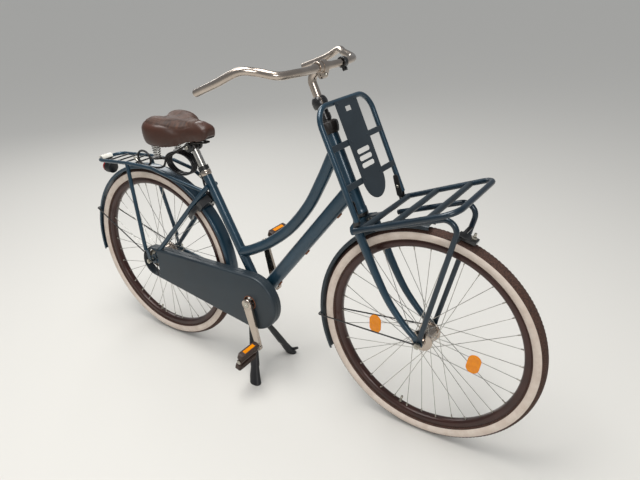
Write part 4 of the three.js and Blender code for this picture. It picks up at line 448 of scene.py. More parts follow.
def side_plate(outline, y0, y1, holes=()):
    """Plate seen from the side, with its outline in x and z."""
    return plate(outline, (0, y0, 0), (1, 0, 0), (0, 0, 1), (0, y1 - y0, 0), holes)


def seam(centre, way, radius, other_way, other_radius, width=2.2):
    """Brazed fillet where the end of one tube meets the wall of another."""
    way = way / np.linalg.norm(way)
    other_way = other_way / np.linalg.norm(other_way)
    one = np.cross(way, other_way)
    one /= np.linalg.norm(one)
    two = np.cross(way, one)
    # Each point of the tube's wall is followed along the tube until it meets the other tube's wall.
    slope = way - other_way * way.dot(other_way)
    line = []
    for x, y in ring(radius, 40):
        start = centre + x * one + y * two
        offset = (start - centre) - other_way * (start - centre).dot(other_way)
        p = slope.dot(slope)
        q = 2 * slope.dot(offset)
        r = offset.dot(offset) - other_radius**2
        line.append(start + way * (-q + math.sqrt(max(q * q - 4 * p * r, 0))) / (2 * p))
    return pipe(line, width, 8, True)


head_tube_radius = 20
seat_tube_radius = 17
top_tube_radius = 19
down_tube_radius = 24
seat_way = leaned(1, crank, seat_lean) - crank
head_way = leaned(1, steer_foot, head_lean) - steer_foot
top_start = leaned(627, steer_foot, head_lean)
top_end = leaned(170, crank, seat_lean)
top_chord = (top_end - top_start) / np.linalg.norm(top_end - top_start)
top_sag = np.cross(top_chord, (0, 1, 0)) * 67
top_shares = [(0, 0), (0.13, 0.36), (0.2, 0.54), (0.37, 0.9), (0.57, 1), (0.75, 0.78), (0.9, 0.38), (1, 0)]
top_line = flowing([
    top_start + (top_end - top_start) * along + top_sag * bow for along, bow in top_shares], 10)
down_start = leaned(496, steer_foot, head_lean)
down_way = (crank - down_start) / np.linalg.norm(crank - down_start)
piece("frame_top_tube", "frame", petrol_enamel, [
    pipe(top_line, top_tube_radius, 32),
    seam(top_start, top_line[1] - top_line[0], top_tube_radius, head_way, head_tube_radius),
    seam(top_end, top_line[-2] - top_line[-1], top_tube_radius, seat_way, seat_tube_radius),
], ["top_tube"])
piece("frame_down_tube", "frame", petrol_enamel, [
    rod(down_start, crank, down_tube_radius, 0, 40),
    seam(down_start, down_way, down_tube_radius, head_way, head_tube_radius),
    seam(crank, -down_way, down_tube_radius, np.array([0, 1.0, 0]), 21),
], ["down_tube"])
head_profile = [(0, 16), (0, 21.4), (0.6, 22), (14, 22), (16.5, 20), (247.4, 20), (248, 19.4), (248, 16)]
piece("frame_head_tube", "frame", petrol_enamel, [
    tilted(lathe((0, 0, 420), (0, 0, 1), head_profile, 48, True), steer_foot, head_lean),
], ["head_tube"])
seat_profile = [(0, 13.9), (0, 17), (477.6, 17), (478, 16.6), (478, 13.9)]
piece("frame_seat_tube", "frame", petrol_enamel, [
    tilted(lathe((0, 0, 0), (0, 0, 1), seat_profile, 40, True), crank, seat_lean),
], ["seat_tube"])
shell_profile = [(0, 9.1), (0, 20.4), (0.6, 21), (73.4, 21), (74, 20.4), (74, 9.1)]
piece("crank_shell", "frame", petrol_enamel, [
    lathe(crank - (0, 37, 0), (0, 1, 0), shell_profile, 48, True),
], ["bottom_bracket_shell"])

# Cable guides.
# Three small tunnels of bare mild steel, brazed in a row under the down tube. They have gone rusty, which
# leaves them brown, rough and matt.
rusty_steel = finish(
    "rusted_mild_steel", "plain_steel", "#6a3a22", "#8a5433", 6, 1.5, 0.2, (0.7, 0.9), Metallic=0.15)
under = np.cross(down_way, (0, 1, 0)) * down_tube_radius
guide_places = [down_start + (crank - down_start) * share + under for share in (0.17, 0.5, 0.82)]
piece("cable_guides", "frame", rusty_steel, [
    pipe([place + down_way * a for a in (-11, -10, 0, 10, 11)], lambda s: 4 - 0.8 * (abs(s - 0.5) > 0.45), 16)
    for place in guide_places
])

# Rear triangle.
# Drawn steel stays with plate dropouts that are open to the rear for the axle and its nuts. The seat stays
# stand wide beside the tyre and come together at the seat tube, and bridges between the stays carry the
# mudguard.
stay_profile = [(0, 1), (0.25, 0.83), (0.5, 0.65), (0.7, 0.5), (0.81, 0.41), (0.91, 0.24), (1, 0)]
seat_stay_foot = np.array([16.0, 0, 378])
seat_stay_top = leaned(432, crank, seat_lean)


def seat_stay_line(side):
    """Centre line of a seat stay, which leans in from its foot to the seat tube."""
    climb = seat_stay_top - seat_stay_foot
    return flowing([
        seat_stay_foot + climb * along + (0, side * (19 + out * 43.5), 0) for along, out in stay_profile
    ], 8)


bridge_reach = 392
bridge_angle = 48.644
guard_hold = 370
stay_points = seat_stay_line(1)[::-1]
seat_bridge = next(p for p in stay_points if math.hypot(p[0], p[2] - axle_height) < bridge_reach) * (1, 0, 1)
stay_bridges = [
    rod(round_wheel(rear_axle, 379.3, -5, -34), round_wheel(rear_axle, 379.3, -5, 34), 7),
    rod(seat_bridge - (0, 30, 0), seat_bridge + (0, 30, 0), 7),
    rod(seat_bridge, round_wheel(rear_axle, guard_hold, bridge_angle), 4),
]
for word, side in (("right", -1), ("left", 1)):
    axle_slot = block(-20, 0, side * 55, side * 70, axle_height - 5.1, axle_height + 5.1)
    axle_hole = rod((0, side * 55, axle_height), (0, side * 70, axle_height), 5.1, 0)
    stays = [
        rod(crank + (0, side * 28, 0), (22, side * 62.5, axle_height), 8, 0, 24),
        pipe(seat_stay_line(side), lambda s: 9 - 1.2 * max(0, 0.12 - s) / 0.12, 24),
    ]
    piece(f"rear_stays_{word}", "frame", petrol_enamel, [
        *stays, *(stay_bridges if side > 0 else [])], [f"seat_stay_{word}"])
    piece(f"rear_dropout_{word}", "frame", petrol_enamel, [
        side_plate(belt((0, axle_height), 16, (42, axle_height), 8), side * 60, side * 65),
        side_plate(belt((0, axle_height), 16, (16, 378), 9), side * 60, side * 65),
    ], [f"chain_stay_{word}"], [axle_slot, axle_hole], bevel=0.7)


# Headset.
# Pressed steel cup below and a fluted cover of brown plastic above it that widens upwards, then a black
# locknut. The cup and the nut are stove enamelled, which leaves a smooth, glossy skin.
fluted_plastic = finish(
    "moulded_brown_plastic", "brown_plastic", "#14100e", "#1c1613", 30, 0.8, 0.03, (0.4, 0.52), IOR=1.46)
black_enamel = finish(
    "black_stove_enamel", "black_enamel", "#121213", "#1a1a1b", 60, 0.7, 0.015, (0.24, 0.36),
    Coat_Weight=0.4, Coat_Roughness=0.12)


def steer(*shapes):
    """Shapes drawn about the steering axis, leaned into place."""
    return [tilted(shape, steer_foot, head_lean) for shape in shapes]


flutes = 10
flute_turn = np.arange(120) * 2 * math.pi / 120
cover_rings = []
for up, wide in flowing([(0, 0.35), (0.12, 0.6), (0.45, 0.95), (0.8, 1), (0.93, 0.55), (1, 0)], 8):
    reach = 20 + 10 * wide - 0.9 * wide * (1 - np.cos(flutes * flute_turn)) / 1.3
    cover_rings.append(np.stack([
        reach * np.cos(flute_turn), reach * np.sin(flute_turn), np.full(120, 668.3 + 38 * up)], 1))
piece("headset_fluted_cover", "frame", fluted_plastic, steer(stitch(cover_rings)), ["headset_cover"])
cup_profile = [(0, 15), (0, 19), (1.5, 21.4), (5, 22), (10.6, 22), (11.1, 21.5), (11.1, 15)]
piece("headset_lower_cup", "frame", black_enamel, steer(
    lathe((0, 0, 408.6), (0, 0, 1), cup_profile, 48, True)), ["headset_cup"])
nut_profile = [
    (0, 14.6), (0, 15.5), (3.6, 15.9), (4.2, 16.6), (4.9, 17.4), (19.6, 17.4), (20.4, 16.6), (21, 15.2),
    (37.6, 15.2), (38, 14.8), (38, 14.6),
]
piece("headset_lock_nut", "steering", black_enamel, steer(
    lathe((0, 0, 706.9), (0, 0, 1), nut_profile, 12, True)), ["headset_locknut"])

# Stem and handlebar.
# Forged and polished aluminium: the quill bends forward to a split clamp with one bolt, and the bare bar
# sweeps up and back. Polishing leaves a bright skin that has dulled a little in use. The collar under the
# stem is glossy black.
polished_aluminium = finish(
    "polished_aluminium", "bright_metal", "#c3b7ac", "#b6aa9f", 70, rough=(0.17, 0.25), Metallic=1.0)
collar_height = 35
collar_shape = flowing([(0, 0.72), (0.04, 0.8), (0.3, 1), (0.62, 0.97), (0.88, 0.6), (1, 0.16)], 6)
collar_profile = [
    (0, 13),
    *((collar_height * up, 12.9 + 10.6 * wide) for up, wide in collar_shape),
    (collar_height, 13),
]
# A narrow wedge is cut out of the collar where it is split.
split_turn = math.radians(-38)
split_out = np.array([math.cos(split_turn), math.sin(split_turn), 0])
split_across = np.array([-math.sin(split_turn), math.cos(split_turn), 0])
split = plate([(5, 1.6), (30, 2.6), (30, -2.6), (5, -1.6)], (0, 0, 742), split_out, split_across, (0, 0, 42))
piece("stem_collar_cone", "steering", black_enamel, steer(
    lathe((0, 0, 745.2), (0, 0, 1), collar_profile, 56, True),
), ["stem_collar"], steer(split), bevel=0.8, sharp=50)
bar_ahead = 44
bar_height = 851
quill_line = bent([(0, 0, 600), (0, 0, 836), (bar_ahead, 0, bar_height)], 26, 12)
piece("stem_quill", "steering", polished_aluminium, steer(pipe(quill_line, 12.6, 28)), ["stem"])
clamp_profile = [(0, 12.9), (0, 16.3), (1.5, 17.5), (38.5, 17.5), (40, 16.3), (40, 12.9)]
piece("stem_bar_clamp", "steering", polished_aluminium, steer(
    lathe((bar_ahead, -20, bar_height), (0, 1, 0), clamp_profile, 56, True),
    side_plate(belt((bar_ahead, bar_height), 19, (38, 829), 10, 20), -4, 19),
), cuts=steer(block(36.6, 39.8, -23, 23, 810, 846)), bevel=0.9, sharp=50)
bolt_profile = [(0, 3.6), (0.8, 4.4), (4.6, 4.4), (4.6, 2.6), (22, 2.6), (22, 4.4), (26, 4.4), (26.6, 3.8)]
piece("stem_clamp_bolt", "steering", nickel_plate, steer(lathe((57.6, 0, 827), (-1, 0, 0), bolt_profile, 6)))

# Half of the bar's centre line, as shares of how far it reaches back, out and up from the clamp.
bar_back = 238
bar_out = 263
bar_rise = 52
bar_shares = [
    (0, 0, 0), (-0.025, 0.255, -0.05), (-0.055, 0.5, -0.045), (0.02, 0.715, 0.1), (0.18, 0.81, 0.62),
    (0.32, 0.925, 0.97), (0.62, 1, 0.92), (1, 0.965, 1),
]
bar_half = [
    (bar_ahead - back * bar_back, out * bar_out, bar_height + up * bar_rise) for back, out, up in bar_shares
]
bar_line = flowing([(x, -y, z) for x, y, z in bar_half[:0:-1]] + bar_half, 10)
bores = []
for tip, inner in ((bar_line[0], bar_line[1]), (bar_line[-1], bar_line[-2])):
    inward = (inner - tip) / np.linalg.norm(inner - tip)
    bores += steer(rod(tip - inward * 3, tip + inward * 40, 9.5, 0))
piece("swept_handlebar", "steering", polished_aluminium, steer(
    pipe(bar_line, lambda s: 11.1 + 1.6 * min(1, max(0, (0.052 - abs(s - 0.5)) / 0.012)), 28),
), ["handlebar"], bores)
mount_x, mount_y, mount_z = min(bar_line, key=lambda p: abs(p[1] - 100))
mount_profile = [(0, 12), (0, 15.3), (1, 16.3), (15, 16.3), (16, 15.3), (16, 12)]
piece("bar_mount_clamp", "steering", black_enamel, steer(
    lathe((mount_x, mount_y - 8, mount_z), (0.05, 1, -0.02), mount_profile, 40, True),
    block(mount_x - 4, mount_x + 4, mount_y - 8, mount_y + 8, mount_z - 26, mount_z - 13),
    rod((mount_x - 8, mount_y, mount_z - 20), (mount_x + 8, mount_y, mount_z - 20), 3.4, 0.6, 6),
), ["bar_clamp"], bevel=0.6)

# Fork and mudguards.
# Arched crown with two tapered blades that curve forward to slotted ends, in the frame's enamel. The
# mudguards are rolled sheet steel with beaded lips, each held by a bolt and by a thin black wire stay that
# is bent over it.
blade_path = flowing([
    (3, 0, 389.6), (5.85, 0, 299.9), (9.1, 0, 220.3), (18.2, 0, 140), (37.7, 0, 70.2), (56, 0, 26)], 10)
crown_shares = flowing([
    (-0.36, 0), (0.36, 0), (0.9, 0.28), (1, 0.6), (1, 1), (0.57, 1), (0.45, 0.6), (0.25, 0.5), (-0.25, 0.5),
    (-0.45, 0.6), (-0.57, 1), (-1, 1), (-1, 0.6), (-0.9, 0.28),
], 1)
crown_half_width = 67
crown_top = 408
crown_depth = 36
crown_outline = [(out * crown_half_width, crown_top - down * crown_depth) for out, down in crown_shares]
blade_out = 52
piece("fork_crown", "steering", petrol_enamel, steer(
    plate(crown_outline, (-16, 0, 0), (0, 1, 0), (0, 0, 1), (32, 0, 0))), ["fork"], bevel=4.5, sharp=50)
piece("fork_steerer", "steering", black_enamel, steer(
    rod((0, 0, 388), (0, 0, 735), 14.3, 0.5, 32),
    rod((0, 0, 366.9), (0, 0, 392), 4, 0.4, 16),
))
for word, side in (("right", -1), ("left", 1)):
    piece(f"fork_blade_{word}", "steering", petrol_enamel, steer(
        pipe(blade_path + (0, side * blade_out, 0), lambda s: 14 - 5 * s, 28)))
    piece(f"fork_end_{word}", "steering", petrol_enamel, steer(
        side_plate(belt((56, 35), 9, (fork_offset, 0), 13), side * 50, side * 55),
    ), cuts=steer(
        block(fork_offset - 5.1, fork_offset + 5.1, side * 45, side * 60, -20, 0),
        rod((fork_offset, side * 45, 0), (fork_offset, side * 60, 0), 5.1, 0),
    ), bevel=0.8)

guard_reach = 372
guard_outer = flowing([(26, -12), (24.2, -3.6), (13, 0), (-13, 0), (-24.2, -3.6), (-26, -12)], 6)
guard_outline = np.vstack([guard_outer, (guard_outer * (0.945, 1) - (0, 1.5))[::-1]])


def mudguard(name, body, centre, start, end, steps, material, node):
    """Rolled mudguard from one angle to another, with a bead along each lip."""
    angles = np.linspace(start, end, steps)
    rings = [
        np.array([round_wheel(centre, guard_reach + out, angle, y) for y, out in guard_outline])
        for angle in angles
    ]
    lips = [
        pipe([round_wheel(centre, 361, angle, side * 24.9) for angle in angles], 1.6, 8)
        for side in (-1, 1)
    ]
    piece(name, body, material, [stitch(rings), *lips], [node])


def wire_stay(name, body, centre, angle, eye_y, node):
    """Stay of 4.8 mm wire bent over the mudguard, with flat eyes on the axle and a clip on each lip."""
    corners = [
        round_wheel(centre, reach, angle, y)
        for reach, y in [(20, -eye_y), (374.7, -31.1), (374.7, 31.1), (20, eye_y)]
    ]
    eye = belt(centre[[0, 2]], 9, round_wheel(centre, 20, angle)[[0, 2]], 2.4)
    eyes = [side_plate(eye, side * (eye_y - 1), side * (eye_y + 1)) for side in (-1, 1)]
    piece(name, body, black_enamel, [pipe(bent(corners, 7, 8), 2.4, 14), *eyes], [node])
    clips = []
    for side in (-1, 1):
        inner = round_wheel(centre, 354, angle, side * 27.5)
        outer = round_wheel(centre, 368, angle, side * 28.6)
        clips.append(rod(inner, outer, 3.9, 0.8, 16))
    piece(name + "_clips", body, black_enamel, clips)


mudguard("front_guard", "steering", front_axle, 90, 204.5, 90, slate_enamel, "front_mudguard")
wire_stay("front_guard_stay", "steering", front_axle, 184, 59.6, "front_mudguard_stay")
mudguard("rear_guard", "frame", rear_axle, -8, 189, 140, petrol_enamel, "rear_mudguard")
wire_stay("rear_guard_stay", "frame", rear_axle, 158, 66.3, "rear_mudguard_stay")

# Front carrier.
# Bent steel tube in the frame's petrol enamel: a platform on legs that reach the axle, darker with painted
# shade, and an upright hoop behind the load. Cross tubes and flats are slate, as is the long back plate, cut
# from sheet with a window and three slots.
# A darker copy of the petrol enamel: painted shade on the platform and legs, which carry the same paint as
# the hoop.
shaded_petrol_enamel = finish(
    "petrol_enamel_with_painted_shade", "petrol_paint", "#0b202d", "#0f2837", 90, 0.9, 0.012, (0.32, 0.44),
    Metallic=0.35, Coat_Weight=0.5, Coat_Roughness=0.16)
carrier_tube = 8
platform_line = bent([(62, -150, 405), (367, -150, 390), (367, 150, 390), (62, 150, 405)], 45, 12)
# Painted shade: the platform rail takes the darker copy of the petrol enamel.
piece("platform_rail", "steering", shaded_petrol_enamel, steer(
    pipe(platform_line, carrier_tube, 24)), ["front_carrier_platform"])
cross_places = [(62 + share * 305, 405 - share * 15) for share in (0.08, 0.4, 0.75)]
piece("platform_cross_tubes", "steering", slate_enamel, steer(*(
    rod((x, -149, z), (x, 149, z), 8.5) for x, z in cross_places)))
piece("platform_tongue", "steering", slate_enamel, steer(
    block(16.3, 86, -14, 14, 402, 405),
    block(16.3, 19.3, -14, 14, 390, 405),
), bevel=0.8)
piece("platform_bolts", "steering", nickel_plate, steer(*(
    rod((19, y, 397), (23.5, y, 397), 4.2, 0.8, 6) for y in (-7, 7))))
piece("rail_end_caps", "steering", fluted_plastic, steer(*(
    rod((60.6, side * 150, 405.1), (65, side * 150, 404.9), 7.4, 1.2) for side in (-1, 1))))

hoop_line = bent([(75, -140, 425), (75, -140, 745), (75, 140, 745), (75, 140, 425)], 55, 12)
piece("upright_hoop", "steering", petrol_enamel, steer(
    pipe(hoop_line, carrier_tube, 24)), ["front_carrier_upright"])
upper_flat = 629.8
lower_flat = 517.8
piece("upright_flats", "steering", slate_enamel, steer(*(
    block(75, 83, -139, 139, z - 8.5, z + 8.5) for z in (upper_flat, lower_flat))), bevel=1.6)
foot_plates = []
foot_bolts = []
for side in (-1, 1):
    foot_plates += [
        side_plate(belt((66, 405), 10, (75, 435), 8), side * 137.7, side * 141.7),
        side_plate(belt((68, 421), 9, (75, 474), 8.5), side * 127.7, side * 131.7),
    ]
    foot_bolts += [
        rod((66, side * 134, 405), (66, side * 141, 405), 5, 0.9, 6),
        rod((72, side * 124, 446), (72, side * 134, 446), 5, 0.9, 6),
    ]
piece("upright_feet", "steering", black_enamel, steer(*foot_plates), bevel=0.7)
piece("upright_foot_bolts", "steering", nickel_plate, steer(*foot_bolts))
half_width = 57
plate_top = 745
half_turn = np.linspace(math.pi, 2 * math.pi, 33)
plate_outline = [
    *((half_width * math.cos(a), 509 + half_width * math.sin(a)) for a in half_turn),
    (half_width, plate_top),
    (-half_width, plate_top),
]
window = [(-14, 711), (14, 711), (14, 725), (-14, 725)]
slots = [belt((-27, z), 7, (27, z), 7, 12) for z in (526.3 + share * 95 for share in (0.28, 0.5, 0.72))]
piece("upright_back_plate", "steering", slate_enamel, steer(
    plate(plate_outline, (83.3, 0, 0), (0, 1, 0), (0, 0, 1), (1.5, 0, 0), [window, *slots]),
), ["front_carrier_plate"])
rivet_profile = [(0, 3.6), (0.7, 3.4), (1.5, 2.2), (1.8, 0)]
piece("back_plate_rivets", "steering", slate_enamel, steer(*(
    lathe((84.6, y, z), (1, 0, 0), rivet_profile, 16)
    for y in (-44, 44)
    for z in (lower_flat, upper_flat, 738)
)))

legs = []
leg_ends = []
for side in (-1, 1):
    leg_line = bent([(78.4, side * 71, 378.9), (341, side * 71, 359), (84, side * 59, 26)], 32, 12)
    legs.append(pipe(leg_line, carrier_tube, 24))
    leg_ends.append(side_plate(belt((84, 26), 8, (fork_offset, 0), 10), side * 55.3, side * 58.3))
# Painted shade: the legs and their flat ends take the darker copy of the petrol enamel.
piece("carrier_legs", "steering", shaded_petrol_enamel, steer(*legs), ["front_carrier_legs"])
piece("carrier_leg_ends", "steering", shaded_petrol_enamel, steer(*leg_ends), bevel=0.6)
# The bridge lies across the tyre, 5 mm clear of it, and its tongue carries the bolt of a lamp.
bridge_lean = 52.5


def over_tyre(shape):
    """A shape drawn over the top of the wheel, turned forward to the bridge's place."""
    return steer(tilted(shape, (fork_offset, 0, 0), bridge_lean - 90))[0]


piece("leg_bridge_and_lamp_bracket", "steering", black_enamel, [
    over_tyre(block(-6, 6, -64, 64, 364, 369)),
    over_tyre(block(-10, 46, -22, 10, 363, 373)),
], bevel=1.5)
piece("lamp_bracket_bolt", "steering", nickel_plate, [
    over_tyre(lathe((33, -6, 372.6), (0, 0, 1), [(0, 8), (7, 8), (8, 7), (8, 4), (19, 4), (19.6, 3)], 6)),
])

# Wheels.
# Brown enamelled box rims, 36 straight steel spokes laced to a polished hub, and balloon tyres of brown
# rubber with a low block tread and cream sidewalls that have taken up some street dirt.
rim_enamel = finish(
    "brown_rim_enamel", "brown_enamel", "#3c1e17", "#301812", 70, 0.8, 0.01, (0.3, 0.42),
    Metallic=0.3, Coat_Weight=0.3)
sidewall_rubber = finish(
    "cream_sidewall_rubber", "tyre", "#d3c6ba", "#c6b6a9", 30, 1.0, 0.06, (0.6, 0.75), IOR=1.5)
spoke_steel = finish(
    "stainless_spoke_wire", "bright_metal", "#bdbbb5", "#a8a6a1", 30, rough=(0.25, 0.36), Metallic=1.0)
# Vulcanised rubber is matt. Between the moulded ribs its tint changes from block to block, 4 mm apart.
tread_rubber = finish(
    "vulcanised_brown_rubber", "tyre", "#4c352c", "#3f2b24", 35, 1.2, 0.12, (0.75, 0.88), IOR=1.5)
tread_blocks = add_node(tread_rubber, "TexVoronoi", None, {
    "Vector": add_node(tread_rubber, "TexCoord").outputs["Object"], "Scale": 1000 / 4})
block_share = add_node(tread_rubber, "MapRange", None, {
    0: tread_blocks.outputs["Distance"], 1: 0.25, 2: 0.65})
block_tint = add_node(tread_rubber, "Mix", {"data_type": "RGBA"}, {
    0: block_share.outputs[0], 6: colour("#50352a"), 7: colour("#38241c")})
tread_surface = tread_rubber.node_tree.nodes["Principled BSDF"]
tread_rubber.node_tree.links.new(block_tint.outputs[2], tread_surface.inputs["Base Color"])

# Half of the tyre's section, from the bead to the crown.
widest = 23.5
widest_at = 336
tyre_half = np.array([
    (12.1, 307.6), (13.2, 311), (13.6, 316.5), (15.6, 319.5), (18.4, 322.5), (21.2, 327), (23, 331.5),
    (widest, widest_at),
    *(
        (widest * math.cos(math.radians(a)) ** 0.92, widest_at + 22 * math.sin(math.radians(a)) ** 0.96)
        for a in range(9, 90, 9)
    ),
    (0, axle_height),
])
tyre_section = np.vstack([tyre_half, (tyre_half * (-1, 1))[-2::-1]])
tyre_steps = 540


def tyre(name, body, centre, node):
    """Tyre carcass with ribs and shoulder blocks that are pressed into the tread."""
    y, reach = tyre_section.T
    crown = abs(y) < 17.5
    groove = ((abs(abs(y) - 7.5) < 1.6) | (abs(abs(y) - 13) < 1.2)) & crown
    rows = []
    for i in range(tyre_steps):
        gap = crown & (abs(y) > 8.5) & (i % 3 == 0)
        sunk = reach - np.where(reach > 345, 0.9 * groove + 1.1 * gap, 0)
        turn = 2 * math.pi * i / tyre_steps
        rows.append(np.stack([centre[0] + sunk * math.cos(turn), y, centre[2] + sunk * math.sin(turn)], 1))
    made = piece(name, body, sidewall_rubber, [stitch(rows, True)], [node], sharp=30)
    made.data.materials.append(tread_rubber)
    for face in made.data.polygons:
        at = to_plans(face.center) - centre
        face.material_index = int(not 321.5 <= math.hypot(at[0], at[2]) <= 345.5)


spokes_a_side = 18
rim_half = [(15, 303), (15, 316.2), (14.2, 317), (13, 317), (12.6, 316), (12.6, 308.5), (11, 307)]
rim_inner = [(13.2, 300), (8.5, 296.4), (0, 295.6), (-8.5, 296.4), (-13.2, 300)]
rim_section = [(-y, reach) for y, reach in rim_half] + rim_half[::-1] + rim_inner
nipple_profile = [(0, 3), (1.6, 3), (2.2, 2), (11, 1.9), (12, 1.1)]
valve_profile = [(0, 3), (7, 3), (7, 5.4), (9.4, 5.4), (9.4, 3), (22, 3), (22, 4), (30, 4), (32, 3)]


def wheel(word, body, centre, hub_profile, hub_base):
    """One wheel: tyre, rim, hub, spokes, nipples and valve."""
    tyre(f"{word}_balloon_tyre", body, centre, f"{word}_tyre")
    piece(f"{word}_box_rim", body, rim_enamel, [
        lathe(centre, (0, 1, 0), rim_section, 144, True)], [f"{word}_rim"], sharp=50)
    piece(f"{word}_hub_shell", body, polished_aluminium, [
        lathe(centre + (0, hub_base, 0), (0, 1, 0), hub_profile, 72, True)], [f"{word}_hub"], sharp=30)
    wires = []
    nipples = []
    heads = []
    for side in (-1, 1):
        for i in range(spokes_a_side):
            angle = (i + (0.5 if side > 0 else 0)) * 360 / spokes_a_side
            crossing, weave = (-60, -1.3) if i % 2 else (60, 1.3)
            hole = round_wheel(centre, 30, angle + crossing, side * (30 + weave))
            end = round_wheel(centre, 295.5, angle, side * (3 + weave))
            wires.append(pipe([hole, end], 1.0, 8))
            nipples.append(lathe(end, hole - end, nipple_profile, 10))
            head = np.array([0, side * weave, 0])
            heads.append(rod(hole - head * 3.2, hole + head * 0.9, 1.9, 0.5, 10))
    piece(f"{word}_spokes", body, spoke_steel, wires + heads)
    piece(f"{word}_spoke_nipples", body, nickel_plate, nipples)
    valve_way = round_wheel(np.zeros(3), 1, 255)
    piece(f"{word}_valve", body, nickel_plate, [
        lathe(centre + valve_way * 303, -valve_way, valve_profile, 20)])


# The hubs, turned from end to end: cone, flange, barrel, flange and cone again, and the rear one's sprocket
# seat.
front_profile = [
    (0, 5.8), (0, 14), (1, 15), (6.5, 15), (8, 24), (10, 33), (10.6, 34), (15, 34), (15.6, 33.4),
    (16.6, 28.5), (18, 28), (68.2, 28), (69.6, 28.5), (70.6, 33.4), (71.2, 34), (75.6, 34), (76.2, 33),
    (78.2, 24), (79.7, 15), (85.2, 15), (86.2, 14), (86.2, 5.8),
]
rear_profile = [
    (0, 5.8), (0, 15), (1.5, 24), (4.9, 33), (5.3, 34), (9.9, 34), (10.3, 28.5), (12, 28), (63.5, 28),
    (65, 28.5), (65.4, 33.4), (65.9, 34), (70, 34), (70.4, 33), (72, 28), (78, 28), (80, 24), (82.5, 15),
    (82.5, 5.8),
]
wheel("front", "front_wheel", front_axle, front_profile, -43.1)
wheel("rear", "rear_wheel", rear_axle, rear_profile, -37.4)

# Spoke reflectors.
# Bars of clear amber plastic with rounded ends on a thin back, clipped over the front wheel's spokes. The
# face is moulded with rows of small prisms, which catch the light as a fine dotted pattern.
amber_plastic = finish(
    "amber_prism_plastic", "amber_lens", "#fb9a06", "#f08c03", 12, 0, 0, (0.15, 0.25),
    IOR=1.49, Transmission_Weight=0.2)
reflector_steps = [(-19, 0.9), (-19.4, 0.96), (-20, 1), (-22.8, 1), (-23.6, 0.97), (-24, 0.92)]


def reflector(word, angle):
    """One reflector and its prisms, at an angle round the wheel."""
    middle = round_wheel(front_axle, 163, angle)
    along = round_wheel(np.zeros(3), 12, angle + 90)
    across = round_wheel(np.zeros(3), 1, angle)
    centre = middle[[0, 2]]
    outline = belt((middle - along)[[0, 2]], 20, (middle + along)[[0, 2]], 20, 28)
    rows = []
    for y, share in reflector_steps:
        eased = centre + (outline - centre) * share
        rows.append(np.stack([eased[:, 0], np.full(len(eased), y), eased[:, 1]], 1))
    piece(f"{word}_wheel_reflector", "front_wheel", amber_plastic, [stitch(rows)], [
        f"{word}_spoke_reflector"], sharp=50)
    prism_profile = [(0, 2.6), (0.45, 1.5), (0.7, 0)]
    piece(f"{word}_reflector_prisms", "front_wheel", amber_plastic, [
        lathe(middle + across * a + along / 12 * b - (0, 23.8, 0), (0, -1, 0), prism_profile, 6)
        for a in np.arange(-13.5, 14, 5.4)
        for b in np.arange(-21.6, 22, 5.4)
    ])


reflector("front", -11)
reflector("rear", 180)


# Chain case.
# Closed case of slate enamelled sheet: a shallow tray with a rolled edge, an inner panel, a hole for the
# crank whose edging has gone rusty, and an open end round the hub. One dark screw holds it near the hub.
case_front = np.array([500, 314])
case_rear = np.array([8, 350])
crank_place = crank[[0, 2]]


def case_ring(y, inset):
    """The case's outline, drawn in by an amount, at a distance from the middle of the bicycle."""
    outline = belt(case_front, 106 - inset, case_rear, 61 - inset, 40)
    return np.stack([outline[:, 0], np.full(len(outline), -y), outline[:, 1]], 1)


def arc(centre, radius, turns):
    """Points at a radius and at some angles, seen from the side."""
    return [(centre[0] + radius * math.cos(a), centre[1] + radius * math.sin(a)) for a in turns]


bevel_path = [(34, 0), (63.6, 0), (66.4, 0.5), (69, 2), (70.8, 4.2), (71.5, 7)]
sheet_thickness = 1.6
inner_rings = [case_ring(y - sheet_thickness, inset + sheet_thickness) for y, inset in bevel_path[:0:-1]]
outer_rings = [case_ring(y, inset) for y, inset in bevel_path]
opening_turn = np.radians(np.linspace(60, 300, 40))
piece("chain_case_tray", "frame", slate_enamel, [
    stitch([*inner_rings, case_ring(34, sheet_thickness), *outer_rings]),
], ["chain_case"], [
    rod(crank - (0, 60, 0), crank - (0, 75, 0), 25, 0, 48),
    side_plate(arc(case_rear, 57, opening_turn), -46, -75),
    pipe(seat_stay_line(-1), 10.5, 20),
], sharp=28)
piece("chain_case_inner_panel", "frame", slate_enamel, [
    side_plate(arc(case_front, 104.4, np.linspace(-math.pi / 2, math.pi / 2, 40)), -34, -35.6),
], cuts=[rod(crank - (0, 30, 0), crank - (0, 40, 0), 21.4, 0, 40)])
piece("crank_hole_rubber", "frame", rusty_steel, [
    pipe([(x, -71.3, z) for x, z in arc(crank_place, 25.3, np.arange(64) * math.pi / 32)], 1.5, 10, True),
])
# Black rubber is moulded and matt. An edging closes the straight side of the open end.
edge_rubber = finish(
    "black_edge_rubber", "black_sleeve", "#1b1918", "#262321", 25, 0.6, 0.04, (0.55, 0.7))
piece("rear_opening_edging", "frame", edge_rubber, [
    pipe([(x, -71.2, z) for x, z in arc(case_rear, 57.3, opening_turn[[-3, 2]])], 1.4, 10),
])
piece("case_rim_seam", "frame", slate_enamel, [pipe(case_ring(52, -0.1), 0.9, 8, True)])
screw_x, screw_z = case_rear + 0.2 * (case_front - case_rear) - (0, 8)
screw_profile = [(0, 4.2), (0.4, 4.2), (0.3, 3.4), (-0.2, 1.6), (-0.2, 0)]
piece("case_screw", "frame", edge_rubber, [lathe((screw_x, -71.2, screw_z), (0, -1, 0), screw_profile, 24)])

